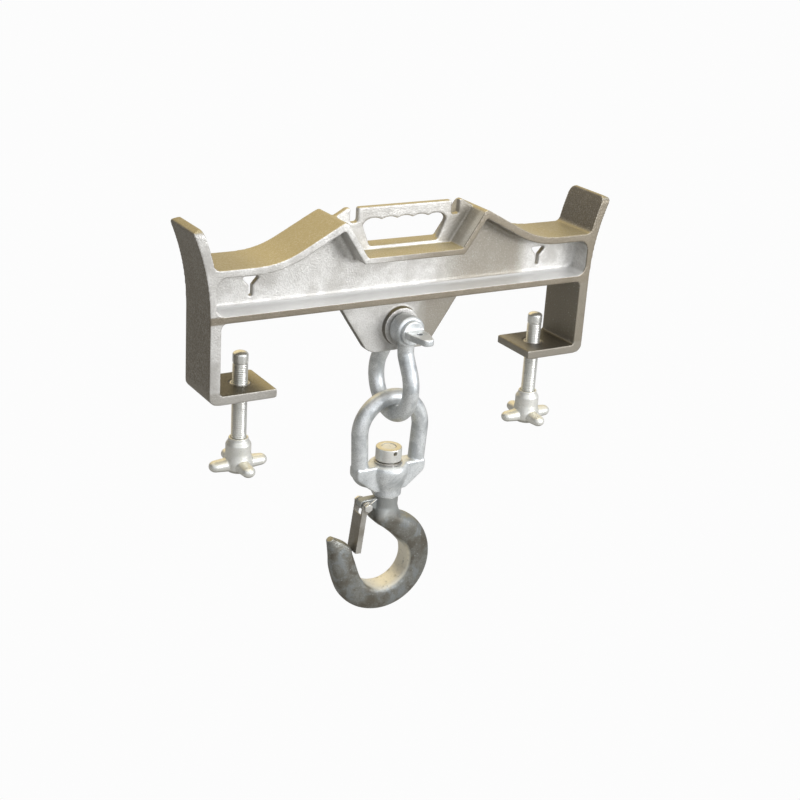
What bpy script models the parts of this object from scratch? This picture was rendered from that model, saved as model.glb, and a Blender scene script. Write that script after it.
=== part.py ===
"""Beam clamp for lifting: a cast two-jaw beam, two clamp screws, a bow shackle and a swivel hook.

The beam lies along X and the load hangs on the Z axis. The origin is the centre of the beam's underside,
which is the plane that the clamped tines bear on. Run it with blender --background --python part.py.
"""

import math

import bmesh
import bpy
from mathutils import Matrix, Vector

# ---------------------------------------------------------------- driving dimensions, in metres

FIT_GAP = 0.0003                  # between two pieces that touch
ARC_STEP = math.radians(23)       # largest step round an arc
ARC_SAG = 0.0005                  # and how far its chords may leave the true arc
ROUND_SIDES = 24                  # facets round a turned or drilled piece
SMALL_SIDES = 16                  # facets round a small pin
OVERCUT = 0.010                   # how far a cutter runs past the face it cuts

# Cast beam
BEAM_WIDTH = 0.075                # across the flanges, posts and feet, along Y
OUTER_SPAN = 0.566                # between the outer faces of the posts, low down
POST_THICKNESS = 0.015            # lower part of a post
JAW_HEIGHT = 0.0925               # underside of the beam to the top of a foot
FOOT_THICKNESS = 0.012
FOOT_REACH = 0.077                # foot, from the inner face of its post to its tip
FLARE_START = 0.005               # height at which a post begins to lean out
FLARE_RADIUS = 0.275
FLARE_ANGLE = math.radians(23.3)
FLARE_THICKNESS = 0.0125          # upper part of a post
POST_CORNER_RADIUS = 0.010        # rounded top corners of a post, seen along X
SADDLE_HEIGHT = 0.067             # top of the saddles over the underside
SADDLE_END = 0.222                # where a saddle begins to rise, from the middle
SADDLE_RADIUS = 0.125
RISE_ANGLE = math.radians(28)     # slope up to the crest
CREST_REACH = 0.103               # crest of a shoulder, from the middle
BASIN_HEIGHT = 0.064              # floor of the middle basin over the underside
BASIN_REACH = 0.070               # half length of the basin's floor
TOP_FLANGE = 0.010                # thickness of the top flange
BASIN_FLANGE = 0.008              # thickness of the basin's floor and slopes
BOTTOM_FLANGE = 0.0085
POCKET_WALL = 0.008               # post left beyond the end of the web's pocket
WEB_THICKNESS = 0.009
OUTER_CORNER_RADIUS = 0.012
INNER_CORNER_RADIUS = 0.008

# Handle in the web
HANDLE_HEIGHT = 0.1205            # top of the handle over the underside
HANDLE_REACH = 0.0695             # half length of the handle plate
GRIP_DEPTH = 0.018                # handle bar, from its top to the cusps between the fingers
FINGER_PITCH = 0.023
FINGER_COUNT = 5
FINGER_DEPTH = 0.003              # rise of each finger scallop over its cusps
HANDLE_SIDE = 0.005               # from the last cusp out to the side of the opening
HANDLE_CORNER_RADIUS = 0.003
OPENING_CORNER_RADIUS = 0.005
SILL_HEIGHT = 0.0055              # web left between the basin's floor and the opening
SILL_REACH = 0.051                # half length of the opening at its sill
SLOT_WIDTH = 0.0115               # open slot between the handle and an ear
SLOT_DEPTH = 0.0185
EAR_TOP_LENGTH = 0.005
EAR_TIP_RADIUS = 0.001
EAR_REACH = 0.134                 # where an ear runs down into the top flange

# Windows near the ends of the web
WINDOW_FROM_END = 0.0675          # middle of a window from the outer face of its post
WINDOW_TOP = 0.0455
WINDOW_BOTTOM = 0.0205
WINDOW_WIDTH = 0.026
WINDOW_NECK_HEIGHT = 0.034
WINDOW_NECK_WIDTH = 0.005

# Lug for the shackle
LUG_THICKNESS = 0.012
LUG_DEPTH = 0.076                 # from the underside of the beam down to the lug's lower edge
LUG_TOP_REACH = 0.095             # half length where the lug leaves the beam
LUG_BOTTOM_REACH = 0.045          # half length at the lower edge, before its corners are rounded
LUG_CORNER_RADIUS = 0.024
PIN_DEPTH = 0.042                 # axis of the shackle pin under the beam
LUG_BOSS_RADIUS = 0.026
LUG_BOSS_LENGTH = 0.027           # along the pin

# Clamp screws
SCREW_FROM_TIP = 0.034            # screw axis from the tip of its foot
SCREW_RADIUS = 0.010
SCREW_STANDOUT = 0.042            # top of the cap over the foot, as drawn
INSERT_WALL = 0.003
INSERT_LIP = 0.002                # foot left under the thread insert
CAP_HEIGHT = 0.015
CAP_DOME = 0.005
CAP_LIP = 0.003                   # thickness of the lip rolled in under the screw's button
BUTTON_RADIUS = 0.007
BUTTON_HEIGHT = 0.004
SCREW_NECK_RADIUS = 0.0045
SCREW_DROP = 0.062                # foot's underside to the top of the knob's hub, as drawn

# Star knobs
KNOB_HUB_RADIUS = 0.0165
KNOB_HUB_TOP_RADIUS = 0.013
KNOB_HUB_CHAMFER = 0.009
KNOB_HUB_LENGTH = 0.047
KNOB_RADIUS = 0.040               # tip of a prong from the axis
PRONG_WIDTH = 0.018
PRONG_THICKNESS = 0.015
PRONG_UNDERCUT = 0.003            # hub below the prongs
KNOB_BLIND = 0.008                # knob left under the end of the screw
KNOB_PIN_RADIUS = 0.0025
KNOB_PIN_DEPTH = 0.017            # axis of the cross pin under the top of the hub

# Bow shackle
BOW_BAR_RADIUS = 0.01125
EAR_RADIUS = 0.021
EAR_THICKNESS = 0.023
EAR_SIDE_PLAY = 0.001             # between the lug's boss and each ear
BOW_RADIUS = 0.046                # of the bar's centre line
BOW_CENTRE_DROP = 0.079           # centre of the bow under the pin
BOW_LEG_ANGLE = math.radians(31)  # where a leg leaves the bow, over its widest point
PIN_RADIUS = 0.012
PIN_COLLAR_RADIUS = 0.0165
PIN_COLLAR_LENGTH = 0.006
PIN_COLLAR_CHAMFER = 0.0015
PIN_TAIL = 0.005                  # pin beyond the far ear
PIN_EYE_LENGTH = 0.040
PIN_EYE_THICKNESS = 0.009
PIN_EYE_ROOT = 0.028              # width of the eye at the collar
PIN_EYE_TIP = 0.013               # width of the eye at its tip
PIN_EYE_HOLE = 0.004              # radius
PIN_PLAY = 0.0006                 # round the pin in the lug

# Swivel bail
BAIL_BAR_RADIUS = 0.0115
BAIL_RADIUS = 0.047               # of the crown's centre line
BAIL_LEG_LENGTH = 0.064           # from the crown's centre down to the bend
BAIL_FOOT_REACH = 0.0435          # leg's centre line at the bend
BAIL_BEND_RADIUS = 0.016
BAIL_HEIGHT = 0.096               # crown's centre line down to the seat for the washer
ARM_REACH = 0.0535                # half length of the two arms, across the boss
ARM_HEIGHT = 0.016                # of an arm's upright end
ARM_THICKNESS = 0.024
ARM_SLOPE_DROP = 0.023            # how far an arm's underside falls on its way in to the boss
ARM_EDGE_RADIUS = 0.003
BOSS_SEAT_RADIUS = 0.024
BOSS_RADIUS = 0.028
BOSS_FOOT_RADIUS = 0.0205
BOSS_LENGTH = 0.047

# Shank, nut and washer
SHANK_RADIUS = 0.010
WASHER_RADIUS = 0.0195
WASHER_THICKNESS = 0.003
NUT_RADIUS = 0.018
NUT_HEIGHT = 0.0195
NUT_CHAMFER = 0.0015
NUT_PIN_RADIUS = 0.0025
NUT_PIN_DEPTH = 0.005             # axis under the top of the nut
NUT_PIN_RECESS = 0.004            # each end of the pin under the nut's side

# Hook
HOOK_DEPTH = 0.1008               # hook's neck, from its top down to the centre of the bowl
BOWL_SHIFT = -0.003               # centre of the bowl along X
BOWL_RADIUS = 0.037               # inside of the bowl
HOOK_RADIUS = 0.075               # outside of the bowl
NECK_RADIUS = 0.017
HOOK_HALF_DEPTH = 0.0195          # along Y
TIP_HALF_DEPTH = 0.0100
HOOK_SIDES = 16                   # points round each section
INNER_SQUARENESS = 4.5            # a section's inner half; 2 draws it round, more draws it fuller
OUTER_SQUARENESS = 2.3            # and its outer half
SHOULDER = (                      # sections into the bowl: degrees and radius, outside, then inside
    (70, 0.0750, 106, 0.0698),
    (58, 0.0750, 92, 0.0518),
    (44, 0.0750, 66, 0.0392),
)
TIP = (                           # sections past the bowl, out to the tip, with their half depths
    (-182, 0.0806, -186, 0.0440, 0.0150),
    (-193, 0.0845, -202, 0.0527, 0.0130),
    (-201, 0.0905, -212, 0.0640, 0.0105),
    (-207.5, 0.0975, -212, 0.0926, 0.0055),
)
BOWL_START = 28                   # degrees, where the even bowl begins
BOWL_THIN = -100                  # degrees, where its section begins to thin
BOWL_END = -165
BOWL_SECTIONS = 13
THIN_OUTSIDE = 0.0019             # how far the thinned section has moved out, on its outer side
THIN_INSIDE = 0.0030              # and on its inner side

# Safety latch
LATCH_PIVOT_SIDE = 0.035          # pivot from the shank's axis
LATCH_PIVOT_DROP = 0.0107         # pivot under the top of the hook's neck
LATCH_LENGTH = 0.069              # pivot to the latch's lower end
LATCH_LEAN = math.radians(6.5)    # lower end out towards the hook's tip
LATCH_WIDTH = 0.024               # along Y, over its side cheeks
LATCH_SHEET = 0.002
LATCH_EYE_RADIUS = 0.0075         # round the pivot
LATCH_CHEEK = 0.011               # width of the cheeks under the pivot
LATCH_END_CHEEK = 0.009           # width of the cheeks at the lower end
LATCH_EAR_RADIUS = 0.0068
LATCH_EAR_FRONT = -0.0035         # front face of the hook's ear, along Y
BOLT_RADIUS = 0.003
BOLT_HEAD_RADIUS = 0.0062
BOLT_HEAD_HEIGHT = 0.004
BOLT_TAIL = 0.0015                # bolt beyond its nut
SPRING_WIRE_RADIUS = 0.0007
SPRING_RADIUS = 0.0048            # of the wire's centre line
SPRING_TURNS = 2.5
SPRING_PITCH = 0.0017
SPRING_LATCH_LEG = 0.022
SPRING_SIDES = 14                 # points round a turn

# ---------------------------------------------------------------- worked out from them

POST_OUT = OUTER_SPAN / 2
POST_IN = POST_OUT - POST_THICKNESS
FOOT_TOP = -JAW_HEIGHT
FOOT_BOTTOM = FOOT_TOP - FOOT_THICKNESS
FOOT_TIP = POST_IN - FOOT_REACH
SCREW_X = FOOT_TIP + SCREW_FROM_TIP
WINDOW_X = POST_OUT - WINDOW_FROM_END
CAP_TOP = FOOT_TOP + SCREW_STANDOUT
CAP_BOTTOM = CAP_TOP - CAP_HEIGHT
HUB_TOP = FOOT_BOTTOM - SCREW_DROP
HUB_BOTTOM = HUB_TOP - KNOB_HUB_LENGTH
PIN_Z = -PIN_DEPTH
EAR_INNER_Y = LUG_BOSS_LENGTH / 2 + EAR_SIDE_PLAY
EAR_Y = EAR_INNER_Y + EAR_THICKNESS / 2
EAR_OUTER_Y = EAR_INNER_Y + EAR_THICKNESS
BOW_Z = PIN_Z - BOW_CENTRE_DROP
BOW_BOTTOM = BOW_Z - BOW_RADIUS
CROWN_Z = BOW_BOTTOM + BOW_BAR_RADIUS + BAIL_BAR_RADIUS + FIT_GAP
SEAT_Z = CROWN_Z - BAIL_HEIGHT
BOSS_BOTTOM = SEAT_Z - BOSS_LENGTH
WASHER_BOTTOM = SEAT_Z + FIT_GAP
NUT_BOTTOM = WASHER_BOTTOM + WASHER_THICKNESS + FIT_GAP
NUT_TOP = NUT_BOTTOM + NUT_HEIGHT
NECK_TOP = BOSS_BOTTOM - FIT_GAP
BOWL_X = BOWL_SHIFT
BOWL_Z = NECK_TOP - HOOK_DEPTH
PIVOT_X = -LATCH_PIVOT_SIDE
PIVOT_Z = NECK_TOP - LATCH_PIVOT_DROP

# ---------------------------------------------------------------- scene, collections and materials

for old in list(bpy.data.objects):
    bpy.data.objects.remove(old, do_unlink=True)

parts = bpy.data.collections.new("beam_clamp")
cutters = bpy.data.collections.new("cutters")
for collection in (parts, cutters):
    bpy.context.scene.collection.children.link(collection)


def material(name, colour, roughness, metallic=1.0):
    made = bpy.data.materials.new(name)
    made.use_nodes = True
    shader = made.node_tree.nodes["Principled BSDF"]
    shader.inputs["Base Color"].default_value = (*colour, 1.0)
    shader.inputs["Roughness"].default_value = roughness
    shader.inputs["Metallic"].default_value = metallic
    made.diffuse_color = (*colour, 1.0)
    return made


CAST_ALUMINIUM = material("cast_aluminium", (0.62, 0.60, 0.55), 0.48)
ZINC = material("zinc_plated_steel", (0.72, 0.73, 0.72), 0.35)
GALVANISED = material("galvanised_steel", (0.66, 0.69, 0.71), 0.42)
FORGED = material("forged_steel", (0.26, 0.25, 0.23), 0.5)
PLAIN_STEEL = material("plain_steel", (0.45, 0.45, 0.44), 0.4)
SPRING_STEEL = material("spring_steel", (0.55, 0.56, 0.57), 0.3)

# ---------------------------------------------------------------- shapes


def keep(obj, finish, angle=35):
    """Put a finished sub-part in the parts collection with its material."""
    for holder in list(obj.users_collection):
        holder.objects.unlink(obj)
    parts.objects.link(obj)
    obj.data.materials.clear()
    obj.data.materials.append(finish)
    obj.data.shade_smooth()
    obj.data.set_sharp_from_angle(angle=math.radians(angle))
    return obj


def as_cutter(obj):
    for holder in list(obj.users_collection):
        holder.objects.unlink(obj)
    cutters.objects.link(obj)
    obj.hide_render = True
    obj.display_type = "WIRE"
    return obj


def combine(obj, tool, operation):
    step = obj.modifiers.new(operation.lower(), "BOOLEAN")
    step.operation = operation
    step.solver = "EXACT"
    step.object = as_cutter(tool)
    return obj


def cut(obj, *tools):
    for tool in tools:
        combine(obj, tool, "DIFFERENCE")
    return obj


def join(obj, *tools):
    for tool in tools:
        combine(obj, tool, "UNION")
    return obj


def rounded(corners):
    """An outline through the corners (u, v, radius), each with its radius drawn as an arc."""
    points = []
    for index, (u, v, radius) in enumerate(corners):
        corner = Vector((u, v))
        if radius == 0:
            points.append(corner)
            continue
        before = (Vector(corners[index - 1][:2]) - corner).normalized()
        after = (Vector(corners[(index + 1) % len(corners)][:2]) - corner).normalized()
        half = before.angle(after) / 2
        centre = corner + (before + after).normalized() * (radius / math.sin(half))
        start = corner + before * (radius / math.tan(half)) - centre
        end = corner + after * (radius / math.tan(half)) - centre
        turn = start.angle_signed(end)
        steps = max(2, math.ceil(abs(turn) / ARC_STEP))
        for step in range(steps + 1):
            points.append(centre + Matrix.Rotation(-turn * step / steps, 2) @ start)
    return [(point.x, point.y) for point in points]


def arc(centre, radius, start, end):
    """Points round an arc, angles from +u towards +v."""
    largest = min(ARC_STEP, 2 * math.acos(1 - ARC_SAG / radius))
    steps = max(2, math.ceil(abs(end - start) / largest))
    angles = [start + (end - start) * step / steps for step in range(steps + 1)]
    return [(centre[0] + radius * math.cos(a), centre[1] + radius * math.sin(a)) for a in angles]


def mirrored(half):
    """A closed outline from its +u half, which runs from the lower end of the middle line to the upper."""
    left = [(-u, v) for u, v in reversed(half) if abs(u) > 1e-9]
    return list(half) + left


def curve_mesh(name, curve, turn, whole_caps=False):
    """Make a curve a mesh, with its caps welded, turned into place. Whole caps are one face each."""
    drawn = bpy.data.objects.new(name, curve)
    drawn.matrix_world = turn
    bpy.context.scene.collection.objects.link(drawn)
    depsgraph = bpy.context.evaluated_depsgraph_get()
    mesh = bpy.data.meshes.new_from_object(drawn.evaluated_get(depsgraph))
    shape = bmesh.new()
    shape.from_mesh(mesh)
    bmesh.ops.remove_doubles(shape, verts=shape.verts, dist=1e-6)
    if whole_caps:
        bmesh.ops.dissolve_limit(shape, angle_limit=math.radians(1), verts=shape.verts, edges=shape.edges)
    shape.to_mesh(mesh)
    shape.free()
    made = bpy.data.objects.new(name, mesh)
    made.matrix_world = turn
    bpy.context.scene.collection.objects.link(made)
    bpy.data.objects.remove(drawn, do_unlink=True)
    made.name = name
    return made


ALONG_Y = Matrix.Rotation(math.radians(90), 4, "X")      # an outline drawn in u, v stands in X, Z


def plate(name, outlines, thickness, turn=ALONG_Y, place=(0, 0, 0)):
    """A flat plate with the first outline, less any others, centred on its plane."""
    curve = bpy.data.curves.new(name, "CURVE")
    curve.dimensions = "2D"
    curve.fill_mode = "BOTH"
    curve.extrude = thickness / 2
    for outline in outlines:
        spline = curve.splines.new("POLY")
        spline.points.add(len(outline) - 1)
        for point, (u, v) in zip(spline.points, outline):
            point.co = (u, v, 0, 1)
        spline.use_cyclic_u = True
    return curve_mesh(name, curve, Matrix.Translation(place) @ turn, len(outlines) == 1)


def bar(name, path, radius, resolution=3):
    """A round bar along the points of a path."""
    curve = bpy.data.curves.new(name, "CURVE")
    curve.dimensions = "3D"
    curve.bevel_depth = radius
    curve.bevel_resolution = resolution
    curve.use_fill_caps = True
    spline = curve.splines.new("POLY")
    spline.points.add(len(path) - 1)
    for point, place in zip(spline.points, path):
        point.co = (*place, 1)
    return curve_mesh(name, curve, Matrix.Identity(4))


def rod(name, radius, start, end, sides=ROUND_SIDES):
    """A cylinder between two points."""
    span = Vector(end) - Vector(start)
    turn = Vector((0, 0, 1)).rotation_difference(span).to_matrix().to_4x4()
    shape = bmesh.new()
    bmesh.ops.create_cone(shape, cap_ends=True, segments=sides, radius1=radius, radius2=radius,
                          depth=span.length)
    mesh = bpy.data.meshes.new(name)
    shape.to_mesh(mesh)
    shape.free()
    made = bpy.data.objects.new(name, mesh)
    made.matrix_world = Matrix.Translation((Vector(start) + Vector(end)) / 2) @ turn
    bpy.context.scene.collection.objects.link(made)
    return made


def crosswise(name, radius, reach, place, sides=ROUND_SIDES):
    """A cylinder along Y, as far to the front as to the back, at a place (x, z)."""
    return rod(name, radius, (place[0], -reach, place[1]), (place[0], reach, place[1]), sides)


def turned(name, profile, place=(0, 0, 0), steps=ROUND_SIDES):
    """A turned piece about Z: its profile (radius, z) runs from the top, down its outer side."""
    mesh = bpy.data.meshes.new(name)
    shape = bmesh.new()
    points = [shape.verts.new((radius, 0, z)) for radius, z in profile]
    for first, second in zip(points, points[1:]):
        shape.edges.new((first, second))
    if profile[0][0] > 1e-6:
        shape.edges.new((points[-1], points[0]))
    shape.to_mesh(mesh)
    shape.free()
    made = bpy.data.objects.new(name, mesh)
    made.location = place
    bpy.context.scene.collection.objects.link(made)
    spin = made.modifiers.new("turn", "SCREW")
    spin.steps = steps
    spin.render_steps = steps
    spin.use_merge_vertices = True
    spin.merge_threshold = 1e-6
    return made


def round_edges(obj, width, segments=1, angle=40):
    bevel = obj.modifiers.new("rounding", "BEVEL")
    bevel.width = width
    bevel.segments = segments
    bevel.limit_method = "ANGLE"
    bevel.angle_limit = math.radians(angle)
    return obj


# ---------------------------------------------------------------- the cast beam


def slope_point(start, angle, u):
    """The point at u on a line through start at an angle."""
    return (u, start[1] + (u - start[0]) * math.tan(angle))


def beam_outline():
    """Right half of the beam seen along Y: jaw, leaning post, saddle, crest and basin."""
    flare = (POST_OUT + FLARE_RADIUS, FLARE_START)
    outer = arc(flare, FLARE_RADIUS, math.pi, math.pi - FLARE_ANGLE)
    inner_radius = FLARE_RADIUS + FLARE_THICKNESS
    saddle_lean = math.asin((SADDLE_HEIGHT - FLARE_START) / inner_radius)
    inner = arc(flare, inner_radius, math.pi - FLARE_ANGLE, math.pi - saddle_lean)
    level = -math.pi / 2
    rise = arc((SADDLE_END, SADDLE_HEIGHT + SADDLE_RADIUS), SADDLE_RADIUS, level, level - RISE_ANGLE)
    crest = slope_point(rise[-1], -RISE_ANGLE, CREST_REACH)
    corners = [(0, 0, 0), (POST_IN, 0, INNER_CORNER_RADIUS), (POST_IN, FOOT_TOP, INNER_CORNER_RADIUS / 3)]
    corners += [(FOOT_TIP, FOOT_TOP, FOOT_THICKNESS / 4), (FOOT_TIP, FOOT_BOTTOM, FOOT_THICKNESS / 4)]
    corners += [(POST_OUT, FOOT_BOTTOM, OUTER_CORNER_RADIUS)]
    corners += [(u, v, 0) for u, v in outer[:-1]]
    corners += [(*outer[-1], FLARE_THICKNESS / 4), (*inner[0], FLARE_THICKNESS / 4)]
    corners += [(u, v, 0) for u, v in inner[1:-1]]
    corners += [(*inner[-1], INNER_CORNER_RADIUS)]
    corners += [(u, v, 0) for u, v in rise]
    corners += [(*crest, INNER_CORNER_RADIUS * 0.75), (BASIN_REACH, BASIN_HEIGHT, INNER_CORNER_RADIUS / 2)]
    corners += [(0, BASIN_HEIGHT, 0)]
    return rounded(corners), rise, crest


def pocket_outline(rise, crest, wall, slope_wall, floor, end_wall, radius):
    """Right half of the space between the flanges, each wall a given thickness."""
    centre = (SADDLE_END, SADDLE_HEIGHT + SADDLE_RADIUS)
    under = arc(centre, SADDLE_RADIUS + wall, -math.pi / 2, -math.pi / 2 - RISE_ANGLE)
    basin_angle = math.atan2(crest[1] - BASIN_HEIGHT, crest[0] - BASIN_REACH)
    # The slope's underside is the basin's side moved out by its thickness.
    foot = (BASIN_REACH + slope_wall / math.sin(basin_angle), BASIN_HEIGHT)
    steep = math.tan(basin_angle)
    gentle = -math.tan(RISE_ANGLE)
    apex_u = (under[-1][1] - foot[1] + steep * foot[0] - gentle * under[-1][0]) / (steep - gentle)
    apex = (apex_u, foot[1] + (apex_u - foot[0]) * steep)
    low = (foot[0] - slope_wall / steep, BASIN_HEIGHT - slope_wall)
    end = POST_OUT - end_wall
    corners = [(0, floor, 0), (end, floor, radius), (end, SADDLE_HEIGHT - wall, radius)]
    corners += [(u, v, 0) for u, v in under]
    corners += [(*apex, radius / 3), (*low, radius / 3), (0, low[1], 0)]
    return rounded(corners), under, apex


def handle_opening():
    """The opening under the handle, its upper edge scalloped for the fingers."""
    cusp_height = HANDLE_HEIGHT - GRIP_DEPTH
    reach = FINGER_PITCH * FINGER_COUNT / 2
    sill = BASIN_HEIGHT + SILL_HEIGHT
    side = reach + HANDLE_SIDE
    half_pitch = FINGER_PITCH / 2
    radius = (half_pitch ** 2 + FINGER_DEPTH ** 2) / (2 * FINGER_DEPTH)
    swing = math.asin(half_pitch / radius)
    shoulder = cusp_height - HANDLE_SIDE
    corners = [(-SILL_REACH, sill, OPENING_CORNER_RADIUS), (SILL_REACH, sill, OPENING_CORNER_RADIUS)]
    corners += [(side, shoulder, HANDLE_SIDE * 0.8)]
    for finger in reversed(range(FINGER_COUNT)):
        middle = -reach + FINGER_PITCH * (finger + 0.5)
        centre = (middle, cusp_height + FINGER_DEPTH - radius)
        scallop = arc(centre, radius, math.pi / 2 - swing, math.pi / 2 + swing)
        first = 0 if finger == FINGER_COUNT - 1 else 1
        corners += [(u, v, 0) for u, v in scallop[first:]]
    corners += [(-side, shoulder, HANDLE_SIDE * 0.8)]
    return rounded(corners)


def window_outline(side):
    """A see-through window: wide under the flange, down to a narrow slot."""
    half = WINDOW_WIDTH / 2
    neck = WINDOW_NECK_WIDTH / 2
    soft = WINDOW_NECK_WIDTH / 2.5
    corners = [(-neck, WINDOW_BOTTOM, soft), (neck, WINDOW_BOTTOM, soft), (neck, WINDOW_NECK_HEIGHT, soft)]
    corners += [(half, WINDOW_TOP, soft), (-half, WINDOW_TOP, soft), (-neck, WINDOW_NECK_HEIGHT, soft)]
    return [(side * WINDOW_X + u, v) for u, v in rounded(corners)]


def web_outline(rise, crest):
    """The middle plate: it fills the pockets' back, and rises as the handle and its two ears."""
    _, under, _ = pocket_outline(rise, crest, TOP_FLANGE / 2, BASIN_FLANGE / 2, BOTTOM_FLANGE / 2,
                                 POCKET_WALL / 2, INNER_CORNER_RADIUS)
    end = POST_OUT - POCKET_WALL / 2
    ear_foot = slope_point(rise[-1], -RISE_ANGLE, EAR_REACH)
    ear_side = HANDLE_REACH + SLOT_WIDTH
    slot_floor = HANDLE_HEIGHT - SLOT_DEPTH
    corners = [(0, BOTTOM_FLANGE / 2, 0), (end, BOTTOM_FLANGE / 2, 0)]
    corners += [(end, SADDLE_HEIGHT - TOP_FLANGE / 2, 0)]
    corners += [(u, v, 0) for u, v in under]
    corners += [(EAR_REACH, ear_foot[1] - TOP_FLANGE / 4, 0)]
    corners += [(ear_side + EAR_TOP_LENGTH, HANDLE_HEIGHT, EAR_TOP_LENGTH / 2)]
    corners += [(ear_side, HANDLE_HEIGHT, EAR_TIP_RADIUS), (ear_side, slot_floor, SLOT_WIDTH / 4)]
    corners += [(HANDLE_REACH, slot_floor, SLOT_WIDTH / 4)]
    corners += [(HANDLE_REACH, HANDLE_HEIGHT, HANDLE_CORNER_RADIUS)]
    corners += [(0, HANDLE_HEIGHT, 0)]
    return mirrored(rounded(corners))


def lug_outline():
    """The lug under the middle of the beam, its upper edge buried in the bottom flange."""
    lean = (LUG_TOP_REACH - LUG_BOTTOM_REACH) / LUG_DEPTH
    top = BOTTOM_FLANGE / 2
    corners = [(side * LUG_BOTTOM_REACH, -LUG_DEPTH, LUG_CORNER_RADIUS) for side in (-1, 1)]
    corners += [(LUG_TOP_REACH + lean * top, top, 0), (-LUG_TOP_REACH - lean * top, top, 0)]
    return rounded(corners)


def make_casting():
    half, rise, crest = beam_outline()
    pocket, _, _ = pocket_outline(rise, crest, TOP_FLANGE, BASIN_FLANGE, BOTTOM_FLANGE,
                                  POCKET_WALL, INNER_CORNER_RADIUS * 1.75)
    casting = plate("beam_casting", [mirrored(half), mirrored(pocket)], BEAM_WIDTH)
    # A hall with rounded upper corners, seen along X, trims the tops of the posts.
    edge = BEAM_WIDTH / 2
    ridge = edge - POST_CORNER_RADIUS
    spring = max(v for _, v in half) - POST_CORNER_RADIUS
    hall = [(-edge - OVERCUT, FOOT_BOTTOM - OVERCUT), (edge + OVERCUT, FOOT_BOTTOM - OVERCUT)]
    hall += [(edge + OVERCUT, spring)]
    hall += arc((ridge, spring), POST_CORNER_RADIUS, 0, math.pi / 2)
    hall += arc((-ridge, spring), POST_CORNER_RADIUS, math.pi / 2, math.pi)
    hall += [(-edge - OVERCUT, spring)]
    facing_x = Matrix.Rotation(math.radians(90), 4, "Z") @ ALONG_Y
    combine(casting, plate("post_corners", [hall], OUTER_SPAN * 2, facing_x), "INTERSECT")
    holes = [handle_opening(), window_outline(1), window_outline(-1)]
    web = plate("web", [web_outline(rise, crest)] + holes, WEB_THICKNESS)
    lug = plate("lug", [lug_outline()], LUG_THICKNESS)
    boss = crosswise("lug_boss", LUG_BOSS_RADIUS, LUG_BOSS_LENGTH / 2, (0, PIN_Z))
    join(casting, web, lug, boss)
    cut(casting, crosswise("lug_bore", PIN_RADIUS + PIN_PLAY, BEAM_WIDTH, (0, PIN_Z)))
    for side in (-1, 1):
        x = side * SCREW_X
        seat = (x, 0, FOOT_BOTTOM + INSERT_LIP)
        above = (x, 0, FOOT_TOP + OVERCUT)
        cut(casting, rod("insert_seat", SCREW_RADIUS + INSERT_WALL + FIT_GAP, seat, above))
        below = (x, 0, FOOT_BOTTOM - OVERCUT)
        cut(casting, rod("screw_hole", SCREW_RADIUS + 2 * FIT_GAP, below, (x, 0, FOOT_TOP)))
    return keep(casting, CAST_ALUMINIUM)


# ---------------------------------------------------------------- clamp screws


def make_insert(side, name):
    """Steel thread insert, let into the foot from above onto its lip."""
    outer = SCREW_RADIUS + INSERT_WALL
    bore = SCREW_RADIUS + FIT_GAP
    top = FOOT_TOP - FIT_GAP
    bottom = FOOT_BOTTOM + INSERT_LIP + FIT_GAP
    ring = [(bore, top), (outer, top), (outer, bottom), (bore, bottom)]
    return keep(turned(name, ring, (side * SCREW_X, 0, 0)), PLAIN_STEEL)


def make_cap(side, name):
    """Domed cap that stays still on the clamped tine while the screw turns under it."""
    mouth = SCREW_NECK_RADIUS + 2 * FIT_GAP
    cavity = BUTTON_RADIUS + FIT_GAP
    roof = CAP_BOTTOM + CAP_LIP + BUTTON_HEIGHT + 2 * FIT_GAP
    shoulder = CAP_TOP - CAP_DOME
    quarter = [math.pi / 2 * (1 - step / 4) for step in range(5)]
    profile = [(SCREW_RADIUS * math.cos(a), shoulder + CAP_DOME * math.sin(a)) for a in quarter]
    profile += [(SCREW_RADIUS, CAP_BOTTOM), (mouth, CAP_BOTTOM), (mouth, CAP_BOTTOM + CAP_LIP)]
    profile += [(cavity, CAP_BOTTOM + CAP_LIP), (cavity, roof), (0, roof)]
    return keep(turned(name, profile, (side * SCREW_X, 0, 0)), ZINC)


def pin_bore(side, name):
    """The cross hole for the knob's pin."""
    place = (side * SCREW_X, HUB_TOP - KNOB_PIN_DEPTH)
    return crosswise(name, KNOB_PIN_RADIUS + FIT_GAP, KNOB_HUB_RADIUS + OVERCUT, place, SMALL_SIDES)


def make_screw(side, name):
    """Clamp screw: a button turned on its upper end is caught in the cap, its lower end sits in the knob."""
    top = CAP_BOTTOM - FIT_GAP
    lip_top = CAP_BOTTOM + CAP_LIP + FIT_GAP
    bottom = HUB_BOTTOM + KNOB_BLIND + FIT_GAP
    chamfer = SCREW_RADIUS / 10
    button_top = lip_top + BUTTON_HEIGHT
    profile = [(0, button_top), (BUTTON_RADIUS - chamfer, button_top)]
    profile += [(BUTTON_RADIUS, button_top - chamfer), (BUTTON_RADIUS, lip_top)]
    profile += [(SCREW_NECK_RADIUS, lip_top), (SCREW_NECK_RADIUS, top), (SCREW_RADIUS - chamfer, top)]
    profile += [(SCREW_RADIUS, top - chamfer), (SCREW_RADIUS, bottom + chamfer)]
    profile += [(SCREW_RADIUS - chamfer, bottom), (0, bottom)]
    screw = turned(name, profile, (side * SCREW_X, 0, 0))
    return keep(cut(screw, pin_bore(side, "screw_cross_hole")), ZINC)


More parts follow.
